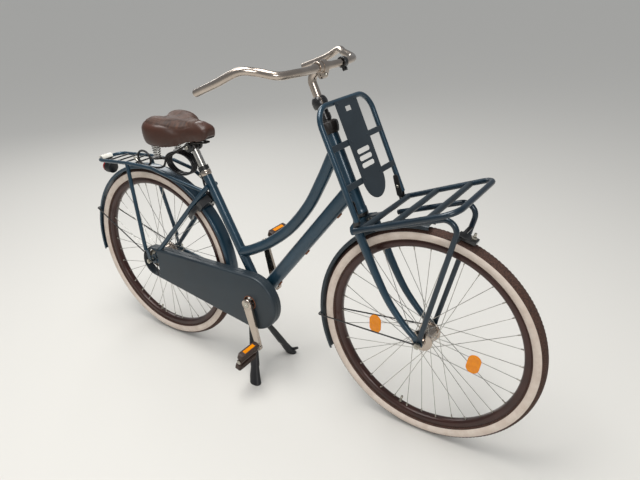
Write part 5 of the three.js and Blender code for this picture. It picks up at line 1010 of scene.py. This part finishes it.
# Roller chain.
# Oiled steel links, drawn one by one round both toothed wheels: inner and outer plates in turn, with a pin
# through each joint. Only the stretch at the case's open end shows.
chain_steel = finish(
    "oiled_chain_steel", "plain_steel", "#7d776d", "#5f5a52", 14, 0.8, 0.02, (0.35, 0.5), Metallic=0.9)
chain_pitch = 12.7
chain_y = -46
front_pitch_radius, rear_pitch_radius = (chain_pitch / (2 * math.sin(math.pi / teeth)) for teeth in (38, 16))
chain_belt = belt(crank_place, front_pitch_radius, rear_axle[[0, 2]], rear_pitch_radius, 60)
spans = np.linalg.norm(np.roll(chain_belt, -1, 0) - chain_belt, axis=1)
along_chain = np.concatenate([[0], np.cumsum(spans)])
links = round(along_chain[-1] / chain_pitch)
closed_belt = np.vstack([chain_belt, chain_belt[:1]])
pin_at = np.arange(links) * along_chain[-1] / links
pins = np.stack([np.interp(pin_at, along_chain, closed_belt[:, k]) for k in (0, 1)], 1)
chain_shapes = []
for i in range(links):
    a = pins[i]
    waist = belt(a, 4.1, pins[(i + 1) % links], 4.1, 6)
    reach = 1.9 if i % 2 else 2.9
    for y in (chain_y - reach, chain_y + reach):
        chain_shapes.append(side_plate(waist, y - 0.45, y + 0.45))
    chain_shapes.append(rod((a[0], chain_y - 3.6, a[1]), (a[0], chain_y + 3.6, a[1]), 1.9, 0.3, 8))
piece("roller_chain", "frame", chain_steel, chain_shapes, ["chain"], sharp=30)

# Cranks.
# Forged and polished aluminium arms on the squared ends of a steel spindle, each held by a bolt under a
# plated dust cap. A plated steel axle for the pedal is screwed into each arm's eye.
crank_lean = 12.6
crank_arm = 170


def on_crank(*shapes):
    """Shapes drawn about the crank's axis, turned to the place where the crank stands at rest."""
    return [tilted(shape, crank, crank_lean) for shape in shapes]


pedal_axle_profile = [(0, 8.6), (4.5, 8.6), (4.5, 6.3), (14, 6.3), (104, 4.6), (105, 4)]
dust_cap_profile = [(0, 11.6), (1.6, 11.6), (2.2, 11), (2.2, 3), (1.4, 2.4), (1.4, 0)]
for word, side in (("right", -1), ("left", 1)):
    eye_z = side * crank_arm
    piece(f"crank_arm_{word}_forging", "crank", polished_aluminium, on_crank(
        side_plate(belt((0, 0), 18.5, (0, eye_z), 12, 24), side * 78.5, side * 89.5),
        rod((0, side * 77, 0), (0, side * 91, 0), 20.5, 1.4, 48),
        rod((0, side * 78.5, eye_z), (0, side * 91, eye_z), 13.5, 0.8, 40),
    ), [f"crank_arm_{word}"], bevel=1.3, sharp=50)
    piece(f"pedal_axle_{word}", "crank", nickel_plate, on_crank(
        lathe((0, side * 89.5, eye_z), (0, side, 0), pedal_axle_profile, 24)), bevel=0.4)
    piece(f"crank_dust_cap_{word}", "crank", nickel_plate, on_crank(
        lathe((0, side * 90.4, 0), (0, side, 0), dust_cap_profile, 36)))
piece("crank_axle", "crank", nickel_plate, [
    rod(crank - (0, 73, 0), crank + (0, 73, 0), 8.5, 0.6, 32),
    *on_crank(block(-6.3, 6.3, -90.5, -71, -6.3, 6.3), block(-6.3, 6.3, 71, 90.5, -6.3, 6.3)),
], ["crank_spindle"])

# Pedals.
# Two ribbed blocks of brown rubber between plastic bridges, on a barrel that turns on the pedal's axle,
# with a plated end cap. A flat amber reflector is let into the outer face of each block.
pedal_rubber = finish(
    "ribbed_brown_rubber", "brown_rubber", "#33231c", "#3f2d24", 22, 0.8, 0.05, (0.45, 0.6))
pedal_plastic = finish(
    "brown_pedal_plastic", "brown_plastic", "#35231a", "#402b20", 22, 0.6, 0.02, (0.28, 0.4))
pedal_lean = 72.0
rib_steps = [
    (-47, 0.55), (-46.2, 0.78), (-43.5, 0.93), (-39, 1), (39, 1), (43.5, 0.93), (46.2, 0.78), (47, 0.55),
]
barrel_profile = [(0, 7), (0, 9.2), (4, 9.8), (18, 8.8), (74, 8.8), (88, 9.8), (91, 9.2), (91, 7)]


def pedal_block(near):
    """Rubber block in front of the axle or behind it, with four ribs above and below and rounded ends."""
    xs = np.linspace(12, 36, 49)
    top = 12 - 1.7 * (np.sin((xs - 12) / 24 * 2 * math.pi * 4 - math.pi / 2) > 0.35)
    top[:3] = [9.5, 11, 12]
    top[-3:] = [12, 11, 9.5]
    outline = np.vstack([np.stack([near * xs, top], 1), np.stack([near * xs, -top], 1)[::-1]])
    middle = np.array([near * 24, 0])
    rings = []
    for y, share in rib_steps:
        shape = middle + (outline - middle) * share
        rings.append(np.stack([shape[:, 0], np.full(len(shape), y), shape[:, 1]], 1))
    return stitch(rings)


def pedal(word, side):
    """One pedal: its rubber blocks, bridges, barrel, end cap and reflectors."""
    body = f"pedal_{word}"
    centre = leaned(side * crank_arm, crank, crank_lean) + (0, side * 150, 0)

    def turned(*shapes):
        """Shapes drawn about the pedal's axle, turned with the pedal."""
        return [tilted(shape, centre, pedal_lean) for shape in shapes]

    blocks = turned(pedal_block(-1), pedal_block(1))
    piece(f"pedal_rubbers_{word}", body, pedal_rubber, blocks, [body], sharp=30)
    bridges = [side_plate(belt((-21, 0), 7.4, (21, 0), 7.4, 14), end * 36, end * 41) for end in (-1, 1)]
    piece(f"pedal_bridges_{word}", body, pedal_plastic, turned(*bridges), bevel=0.8, sharp=50)
    barrel = lathe((0, -side * 46, 0), (0, side, 0), barrel_profile, 36, True)
    piece(f"pedal_barrel_{word}", body, pedal_plastic, turned(barrel))
    end_cap = lathe((0, side * 44.5, 0), (0, side, 0), [(0, 8), (1.9, 8), (2.5, 7), (2.5, 0)], 32)
    piece(f"pedal_end_cap_{word}", body, nickel_plate, turned(end_cap))
    for place, near in (("rear", -1), ("front", 1)):
        face_bar = block(near * 35.2, near * 36.9, -27, 27, -6.5, 6.5)
        piece(f"pedal_reflector_{word}_{place}", body, amber_plastic, turned(face_bar), bevel=0.4)


pedal("right", -1)
pedal("left", 1)

# Rear carrier.
# Petrol enamelled loop of tube with four thin black rods across, on two legs whose flat ends are bolted to
# the axle. Its front ends are joined to the seat stays.
stay_line = seat_stay_line(1)
mount_at = 0.893 * (len(stay_line) - 1)
mount_step = int(mount_at)
mount = stay_line[mount_step] + (stay_line[mount_step + 1] - stay_line[mount_step]) * (mount_at - mount_step)
rail_top = 742
rail_bend_x = -60
rail_end_x = -246
rail_end_z = 728


def rail_height(x):
    """Height of the loop's middle line, which is level at first and sinks towards its end."""
    fall = (rail_top - rail_end_z) * (rail_bend_x - x) / (rail_bend_x - rail_end_x)
    return rail_top - max(0, fall)


def loop_side(side):
    """Corners of one side of the loop, from its end on the seat stay to the rear."""
    return [
        (mount[0], side * mount[1], mount[2]), (150, side * 57, 724), (60, side * 57, rail_top),
        (rail_bend_x, side * 57, rail_top), (rail_end_x, side * 57, rail_end_z),
    ]


piece("carrier_loop", "frame", petrol_enamel, [
    pipe(bent(loop_side(-1) + loop_side(1)[::-1], 30, 10), 7, 24)], ["rear_carrier"])
rod_places = [share * rail_end_x for share in (0.77, 0.57, 0.366, 0.163)]
piece("carrier_cross_rods", "frame", black_enamel, [
    rod((x, -56, rail_height(x)), (x, 56, rail_height(x)), 3, 0.3, 14) for x in rod_places])
knee_x = -12
knee_z = 404
piece("carrier_legs_rear", "frame", petrol_enamel, [
    pipe([(-70, side * 57, rail_height(-70)), (knee_x, side * 82.9, knee_z)], 7.5, 24) for side in (-1, 1)])
piece("carrier_leg_plates", "frame", petrol_enamel, [
    side_plate(belt((0, axle_height), 9, (knee_x, knee_z), 7.5), side * 76.9, side * 79.9) for side in (-1, 1)
], bevel=0.5)

# Rear light.
# Round housing of moulded black plastic with a domed lens of clear red plastic, hung under the end of the
# carrier. A white plastic cap is clipped over the tube there. Moulding leaves all smooth, and the lens is
# the glossiest.
black_plastic = finish(
    "moulded_black_plastic", "black_enamel", "#161617", "#1e1e1f", 30, 0.7, 0.03, (0.38, 0.5))
red_plastic = finish(
    "red_lens_plastic", "red_lens", "#9c1418", "#b51c1c", 10, 0, 0, (0.12, 0.2),
    IOR=1.49, Transmission_Weight=0.2)
white_plastic = finish(
    "white_cap_plastic", "white_plastic", "#d9d7d0", "#c9c6bd", 25, 0.7, 0.02, (0.4, 0.5))
light_z = rail_end_z - 43
lens_x = -261.3
housing_profile = [
    (0, 18), (1.2, 22.4), (4, 24), (20, 24), (20.6, 23.4), (24, 23.4), (24.6, 24), (29.4, 24), (30, 23.4),
    (30, 19),
]
piece("rear_light_body", "frame", black_plastic, [
    lathe((-231, 0, light_z), (-1, 0, 0), housing_profile, 64),
    block(-254, -238, -8, 8, light_z + 14, light_z + 39.7),
], ["rear_light_housing"], bevel=0.5)
dome = flowing([(0, 1), (0.5, 0.94), (0.85, 0.66), (1, 0)], 7)
piece("rear_light_dome", "frame", red_plastic, [
    lathe((lens_x, 0, light_z), (-1, 0, 0), [(0, 22), *((20 * out, 22 * wide) for out, wide in dome)], 64),
], ["rear_light_lens"])
rib_profiles = [
    [(at, reach - 0.2), (at + 0.3, reach + 0.5), (at + 1.1, reach + 0.5), (at + 1.4, reach - 0.4)]
    for at, reach in ((1.5, 21.9), (4.5, 21.5), (7.5, 21.0))
]
piece("rear_light_ribs", "frame", red_plastic, [
    lathe((lens_x, 0, light_z), (-1, 0, 0), profile, 64) for profile in rib_profiles])
tube_end = (rail_end_x, rail_end_z)
cap_outline = [
    *arc(tube_end, 13.3, np.linspace(0, math.pi, 30)),
    *arc(tube_end, 7.6, np.linspace(math.pi, 0, 30)),
]
piece("carrier_end_cap", "frame", white_plastic, [
    side_plate(cap_outline, -40, 8)], ["rear_light_cap"], bevel=1.2, sharp=50)


# Saddle.
# A moulded, leather-look cover over foam on a black base: wide and two-lobed behind, with a sunk channel, a
# sewn seam round its top and glossy, drawn-in sides. Moulding and wear leave the sides smooth.
saddle_hide = finish(
    "moulded_saddle_leather", "leather", "#43281e", "#3a231a", 60, 1.3, 0.05, (0.32, 0.4), IOR=1.45)
# The top panel is embossed with a streaky grain that runs across the saddle, 6 mm between streaks, and dust
# lies in it.
panel_hide = finish(
    "embossed_saddle_leather", "leather", "#46291f", "#5a3b2e", 60, rough=(0.5, 0.62), IOR=1.4)
streak_mm = np.array([5.88, 41.7, 25])
panel_place = add_node(panel_hide, "Mapping", None, {
    "Vector": add_node(panel_hide, "TexCoord").outputs["Object"], "Scale": 1000 / streak_mm})
streaks = add_node(panel_hide, "TexNoise", None, {
    "Vector": panel_place.outputs[0], "Scale": 1.0, "Detail": 5.0, "Distortion": 0.6})
streak_amount = add_node(panel_hide, "MapRange", None, {0: streaks.outputs[0], 1: 0.34, 2: 0.66})
streak_tint = add_node(panel_hide, "Mix", {"data_type": "RGBA"}, {
    0: streak_amount.outputs[0], 6: colour("#2a1810"), 7: colour("#4c3022")})
emboss_depth = 0.0009
emboss = add_node(panel_hide, "Bump", None, {
    "Height": streaks.outputs[0], "Strength": 1.0, "Distance": emboss_depth})
panel_surface = panel_hide.node_tree.nodes["Principled BSDF"]
panel_hide.node_tree.links.new(streak_tint.outputs[2], panel_surface.inputs["Base Color"])
panel_hide.node_tree.links.new(emboss.outputs[0], panel_surface.inputs["Normal"])

saddle_back = 62
saddle_length = 275
saddle_half_width = 113
saddle_foot = 850
saddle_depth = 97
# Shares along the saddle, and there its half width, the height of its top and the height of its lower edge.
saddle_rows = [
    (0, 0.3, 0.6, 0.3), (0.02, 0.56, 0.75, 0.14), (0.07, 0.82, 0.87, 0.03), (0.16, 0.97, 0.92, 0),
    (0.26, 1, 0.92, 0), (0.37, 0.95, 0.89, 0), (0.48, 0.8, 0.85, 0.01), (0.58, 0.61, 0.8, 0.04),
    (0.68, 0.46, 0.75, 0.08), (0.78, 0.38, 0.72, 0.12), (0.88, 0.33, 0.7, 0.16), (0.95, 0.29, 0.66, 0.2),
    (0.99, 0.19, 0.57, 0.28),
]


def saddle_ring(row):
    """Cross-section of the saddle at one place: domed top, rounded sides and skirts round a raised base."""
    along, wide, top, under = row
    half = wide * saddle_half_width
    low = saddle_foot + under * saddle_depth
    high = saddle_foot + top * saddle_depth
    waist = low + (high - low) * 0.5
    skirt = low - 15 * min(1, 1.3 * wide)
    dip = 19 * max(0, 1 - (along / 0.72) ** 2)
    notch = 15 * max(0, 1 - along / 0.2) ** 2
    points = []
    for turn in np.arange(80) * math.pi / 40:
        x = math.cos(turn)
        y = math.sin(turn)
        across = half * math.copysign(abs(x) ** 0.88, x)
        channel = math.exp(-((across / (24 + 22 * (1 - along))) ** 2))
        if y >= 0:
            height = waist + (high - waist) * y**0.84 - dip * channel * y**0.6
        else:
            down = math.degrees(math.asin(-y)) / 90
            curl = math.pi / 2 * min(1, down / 0.6)
            inward = [1 - 0.24 * (1 - math.cos(curl)), 0.7, 0]
            across = math.copysign(half, x) * np.interp(down, [0.6, 0.75, 1], inward)
            rise_to_base = (low + 2 - skirt) * np.interp(down, [0.6, 0.75], [0, 1])
            height = waist - (waist - skirt) * math.sin(curl) ** 0.9 + rise_to_base
        points.append((saddle_back + saddle_length * along + notch * channel, across, height))
    return np.array(points)


# The cover is drawn 3 mm small about its middle, so that the foam's swelling brings it to size.
swelling = 3.0
saddle_middle = np.array([190, 0, 898.0])
saddle_reach = np.array([137, 113, 48])
cover_points, cover_faces = stitch([saddle_ring(row) for row in flowing(saddle_rows, 5)])
cover_points = saddle_middle + (cover_points - saddle_middle) * (1 - swelling / saddle_reach)
saddle_cover = bpy.data.objects.new("saddle_cover", mesh_of("saddle_cover", [(cover_points, cover_faces)]))
bpy.context.scene.collection.objects.link(saddle_cover)


def bake(thing):
    """Applies every modifier of an object."""
    made = applied(thing)
    thing.modifiers.clear()
    thing.data = made


remesh = saddle_cover.modifiers.new("even_mesh", "REMESH")
remesh.mode = "VOXEL"
remesh.voxel_size = 0.005
remesh.use_smooth_shade = True
bake(saddle_cover)
most_move = 0.006
before = np.array([v.co for v in saddle_cover.data.vertices])
cloth = saddle_cover.modifiers.new("foam_pressure", "CLOTH")
cloth.settings.use_pressure = True
cloth.settings.uniform_pressure_force = 4
cloth.settings.effector_weights.gravity = 0
for frame_number in range(1, 21):
    bpy.context.scene.frame_set(frame_number)
bake(saddle_cover)
bpy.context.scene.frame_set(1)
move = np.array([v.co for v in saddle_cover.data.vertices]) - before
far = np.linalg.norm(move, axis=1)
held = before + move * np.minimum(1, most_move / np.maximum(far, 1e-9))[:, None]
saddle_cover.data.vertices.foreach_set("co", held.ravel())
finer = saddle_cover.modifiers.new("finer", "SUBSURF")
finer.levels = 1
finer.render_levels = 1
bake(saddle_cover)

# The seam round the top panel is pressed in after the foam has swollen, and the panel takes the embossed
# leather.
row_table = np.array(saddle_rows)
cover_mesh = saddle_cover.data
cover_places = np.array([v.co for v in cover_mesh.vertices])
cover_normals = np.array([v.normal for v in cover_mesh.vertices])
cover_spots = to_plans(cover_places)
half_here = saddle_half_width * np.interp(
    (cover_spots[:, 0] - saddle_back) / saddle_length, row_table[:, 0], row_table[:, 1])
panel_share = np.abs(cover_spots[:, 1]) / np.maximum(half_here * 0.84, 1)
panel_x = 160
panel_ahead = 112
panel_behind = 88
end_share = np.maximum(
    (cover_spots[:, 0] - panel_x) / panel_ahead, (panel_x - cover_spots[:, 0]) / panel_behind)
edge_share = (panel_share**4 + np.clip(end_share, 0, 9) ** 4) ** 0.25
seam_half_width = 2.6
pressed = np.exp(-(((edge_share - 1) * 60 / seam_half_width) ** 2)) * (cover_normals[:, 2] > 0.1)
cover_mesh.vertices.foreach_set("co", (cover_places - cover_normals * pressed[:, None] / 1000).ravel())
cover_mesh.materials.clear()
cover_mesh.materials.append(saddle_hide)
cover_mesh.materials.append(panel_hide)
for face in cover_mesh.polygons:
    face.use_smooth = True
    face.material_index = int(max(edge_share[i] for i in face.vertices) < 1.02 and face.normal.z > 0.1)
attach(saddle_cover, "saddle_assembly")
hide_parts("saddle")
base_sections = []
for along, wide, _, under in flowing(saddle_rows, 7):
    if 0.05 < along < 0.93:
        base_sections.append(np.array([
            (saddle_back + saddle_length * along, wide * out, saddle_foot + under * saddle_depth + up)
            for out, up in [(-84, 9), (-76, 1.2), (76, 1.2), (84, 9)]
        ]))
piece("saddle_base_plate", "saddle_assembly", black_plastic, [stitch(base_sections)], sharp=30)

# Seat post.
# Chromed steel tube with a black plastic ring, held by a slotted band of polished aluminium with a bolt
# across its ears. Chrome is bright and hard, and dulled a little by handling.
chrome = finish("chromed_steel", "plain_steel", "#c6c5c2", "#b3b1ac", 30, rough=(0.2, 0.3), Metallic=1.0)


def on_seat_tube(*shapes):
    """Shapes drawn about the seat tube's axis, leaned into place."""
    return [tilted(shape, crank, seat_lean) for shape in shapes]


piece("seat_post_tube", "saddle_assembly", chrome, on_seat_tube(
    rod((0, 0, 328), (0, 0, 594.97), 13.6, 0.8, 36)), ["seat_post"])
stop_profile = [(0, 13.9), (0, 18.2), (0.8, 19.2), (14.2, 19.2), (15, 18.2), (15, 13.9)]
piece("seat_post_stop_ring", "saddle_assembly", black_plastic, on_seat_tube(
    lathe((0, 0, 489), (0, 0, 1), stop_profile, 40, True)), ["seat_post_ring"])
band_profile = [(0, 17.3), (0, 19), (0.8, 19.8), (16.2, 19.8), (17, 19), (17, 17.3)]
piece("seat_clamp_band", "frame", polished_aluminium, on_seat_tube(
    lathe((0, 0, 470), (0, 0, 1), band_profile, 48, True),
    block(-31, -18, 1.6, 7, 471, 483),
    block(-31, -18, -7, -1.6, 471, 483),
), ["seat_clamp"], bevel=0.6, sharp=50)
piece("seat_clamp_bolt", "frame", nickel_plate, on_seat_tube(
    rod((-25, -12.5, 477), (-25, -7, 477), 4.6, 0.9, 6),
    rod((-25, -8, 477), (-25, 12, 477), 2.6, 0.3, 16),
    rod((-25, 7, 477), (-25, 11, 477), 4.6, 0.9, 6),
))

# Saddle frame and springs.
# Two bent wires of blackened spring steel run from the nose to the cups of two chromed coil springs, which
# carry the back. A clip with two cheeks and nuts holds the wires to the seat post.
blackened_steel = finish(
    "blackened_spring_steel", "plain_steel", "#2b2927", "#353230", 20, rough=(0.3, 0.42), Metallic=0.6)
spring_x = 100
spring_y = 50
spring_low = 790.8
spring_high = 846.7
wire_top = spring_high - 2.8
spring_turns = 6.5
spring_wire = 2.5
clip_height = 579.97
clip_place = leaned(clip_height, crank, seat_lean)
under_saddle = [(305, 8, 855), (240, 24, 845), (160, 38, 800), (120, 47, 784), (spring_x, spring_y, 784)]
clip_profile = [(0, 13.9), (0, 18.2), (0.8, 19), (23.2, 19), (24, 18.2), (24, 13.9)]
spring_cup_profile = [(0, 17), (0.6, 18.6), (2, 19), (5.4, 19), (6, 18.4), (6, 0)]
wire_frame = on_seat_tube(lathe((0, 0, clip_height - 12), (0, 0, 1), clip_profile, 40, True))
for side in (-1, 1):
    wire_frame.append(pipe(flowing([(x, side * y, z) for x, y, z in under_saddle], 10), 3.5, 16))
    wire_frame.append(lathe((spring_x, side * spring_y, 782), (0, 0, 1), spring_cup_profile, 40))
wire_frame.append(rod((305, -8, 855), (305, 8, 855), 3.5, 0.3, 16))
wire_frame.append(rod(clip_place - (0, 20, 0), clip_place + (0, 20, 0), 8.5, 0, 24))
piece("saddle_wire_frame", "saddle_assembly", blackened_steel, wire_frame, ["saddle_frame"])
cheek_profile = [(0, 16.4), (0.8, 17), (9, 17), (12, 15.4), (12, 6)]
piece("saddle_clip_cheeks", "saddle_assembly", black_enamel, [
    lathe(clip_place + (0, side * 18, 0), (0, side, 0), cheek_profile, 36) for side in (-1, 1)])
clip_nut_profile = [(0, 6.6), (0.6, 7.4), (5, 7.4), (6, 6.4), (6, 0)]
piece("saddle_clip_nuts", "saddle_assembly", nickel_plate, [
    lathe(clip_place + (0, side * 29.6, 0), (0, side, 0), clip_nut_profile, 6) for side in (-1, 1)])
spring_seat_profile = [(0, 0), (0, 18.4), (0.5, 19), (2.5, 19), (3, 18.4), (3, 0)]
for word, side in (("right", -1), ("left", 1)):
    share = np.linspace(0, 1, 240)
    turn = spring_turns * 2 * math.pi * share
    coil_reach = 10 + 6 * share
    coil_line = np.stack([
        spring_x + coil_reach * np.cos(turn),
        side * spring_y + coil_reach * np.sin(turn),
        spring_low + (wire_top - spring_low) * share,
    ], 1)
    piece(f"saddle_coil_spring_{word}", "saddle_assembly", chrome, [
        pipe(coil_line, spring_wire, 12),
        lathe((spring_x, side * spring_y, spring_high), (0, 0, 1), spring_seat_profile, 40),
    ], [f"saddle_spring_{word}"])

# Stand.
# Two-legged stand: a bracket clamped on the chain stays, kept from the part in polished aluminium below, and
# black cast legs with broad feet that swing on its pin. The left foot carries the prong that is trodden on.
cast_enamel = finish(
    "black_enamelled_casting", "black_enamel", "#17171a", "#202023", 40, 2.0, 0.09, (0.4, 0.55))
stand_pin = (432, 262)
# Shares of a leg's height, and there how far it reaches ahead and out, and its length and width.
stand_rows = np.array([
    (1, 0, 0.09, 0.42, 0.4), (0.78, 0.15, 0.14, 0.6, 0.5), (0.68, 0.32, 0.27, 0.72, 0.6),
    (0.5, 0.52, 0.48, 0.76, 0.68), (0.23, 0.78, 0.75, 0.8, 0.86), (0.2, 0.81, 0.79, 0.74, 0.78),
    (0.08, 0.91, 0.92, 0.94, 0.92), (0.012, 0.99, 0.995, 1, 1), (0, 1, 1, 0.94, 0.92),
])
stand_steps = np.linspace(0, len(stand_rows) - 1, 57)
fine_rows = np.stack([
    np.interp(stand_steps, np.arange(len(stand_rows)), column) for column in stand_rows.T], 1)
foot_ahead = 94
foot_out = 112
foot_half_length = 22
foot_half_width = 15
rounded = ring(1, 28)
rounded = np.sign(rounded) * abs(rounded) ** 0.8
stand_shapes = [rod((stand_pin[0], -19.4, stand_pin[1]), (stand_pin[0], 19.4, stand_pin[1]), 10, 1, 36)]
for side in (-1, 1):
    stand_shapes.append(stitch([
        np.stack([
            stand_pin[0] + ahead * foot_ahead + rounded[:, 0] * length * foot_half_length,
            side * out * foot_out + rounded[:, 1] * width * foot_half_width,
            np.full(len(rounded), up * stand_pin[1]),
        ], 1)
        for up, ahead, out, length, width in fine_rows
    ]))
foot_x = stand_pin[0] + foot_ahead
stand_shapes.append(rod((foot_x, foot_out, 13), (foot_x + 30, foot_out + 4, 29), 7.5, 1, 24, 5))
piece("stand_cast_legs", "stand_legs", cast_enamel, stand_shapes, ["stand_legs"], sharp=35)
washer_profile = [(0, 5.6), (0, 9.2), (0.9, 9.2), (0.9, 5.6)]
piece("stand_leg_washers", "stand_legs", nickel_plate, [
    lathe((stand_pin[0], side * 19.4, stand_pin[1]), (0, -side, 0), washer_profile, 28, True)
    for side in (-1, 1)
])

# Fittings kept as they are in the part.
# Turned and cut steel and aluminium fittings and the ring lock's enamelled body: the part's own solids,
# with their facets smoothed where they are round.
fittings = [
    (nickel_plate, ["front_axle", "rear_axle", "sprocket", "chainring", "lock_shackle"]),
    (polished_aluminium, ["stand_bracket"]),
    (black_enamel, ["ring_lock_body"]),
]
for material, names in fittings:
    for name in names:
        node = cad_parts[name]
        node.data.materials.clear()
        node.data.materials.append(material)
        for face in node.data.polygons:
            face.use_smooth = True
            face.material_index = 0
        weld = node.modifiers.new("weld", "WELD")
        weld.merge_threshold = 0.00001
        split_edges = node.modifiers.new("sharp_edges", "EDGE_SPLIT")
        split_edges.split_angle = math.radians(35)
        if "custom_normal" in node.data.attributes:
            node.data.attributes.remove(node.data.attributes["custom_normal"])

# Floor and light.
# Plain pale floor, a large soft lamp overhead, weaker ones beside the camera and behind, and an even pale
# surround, which gloss and metal show a little darker.
floor_mesh = bpy.data.meshes.new("floor")
floor_reach = 400
floor_corners = [(x * floor_reach, y * floor_reach, 0) for x, y in [(-1, -1), (1, -1), (1, 1), (-1, 1)]]
floor_mesh.from_pydata(floor_corners, [], [(0, 1, 2, 3)])
floor = bpy.data.objects.new("floor", floor_mesh)
bpy.context.scene.collection.objects.link(floor)
pale = bpy.data.materials.new("matt_pale_floor")
pale.use_nodes = True
pale.node_tree.nodes["Principled BSDF"].inputs["Base Color"].default_value = colour("#d3d1cc")
pale.node_tree.nodes["Principled BSDF"].inputs["Roughness"].default_value = 0.9
floor.data.materials.append(pale)
for name, place, aim, size, watts in (
    ("overhead_softbox", (-0.3, -0.4, 3.2), (0, 0, 0.4), 1.8, 78),
    ("camera_side_softbox", (2.6, -2.2, 2.4), (0.1, 0, 0.5), 1.2, 34),
    ("rear_softbox", (-2.8, 1.8, 2.4), (0, 0, 0.5), 1.4, 22),
):
    lamp = bpy.data.lights.new(name, "AREA")
    lamp.size = size
    lamp.energy = watts
    lamp.color = (1, 0.985, 0.96)
    softbox = bpy.data.objects.new(name, lamp)
    softbox.rotation_mode = "QUATERNION"
    softbox.rotation_quaternion = Vector(np.subtract(aim, place)).to_track_quat("-Z", "Y")
    softbox.location = place
    bpy.context.scene.collection.objects.link(softbox)
world = bpy.data.worlds.new("pale_surround")
world.use_nodes = True
sky = world.node_tree.nodes["Background"]
sky.inputs["Strength"].default_value = 0.72
rays = world.node_tree.nodes.new("ShaderNodeLightPath")
tone = world.node_tree.nodes.new("ShaderNodeMix")
tone.data_type = "RGBA"
tone.inputs[6].default_value = colour("#e6e8ea")
tone.inputs[7].default_value = colour("#a3a5a8")
world.node_tree.links.new(rays.outputs["Is Glossy Ray"], tone.inputs[0])
world.node_tree.links.new(tone.outputs[2], sky.inputs["Color"])
bpy.context.scene.world = world
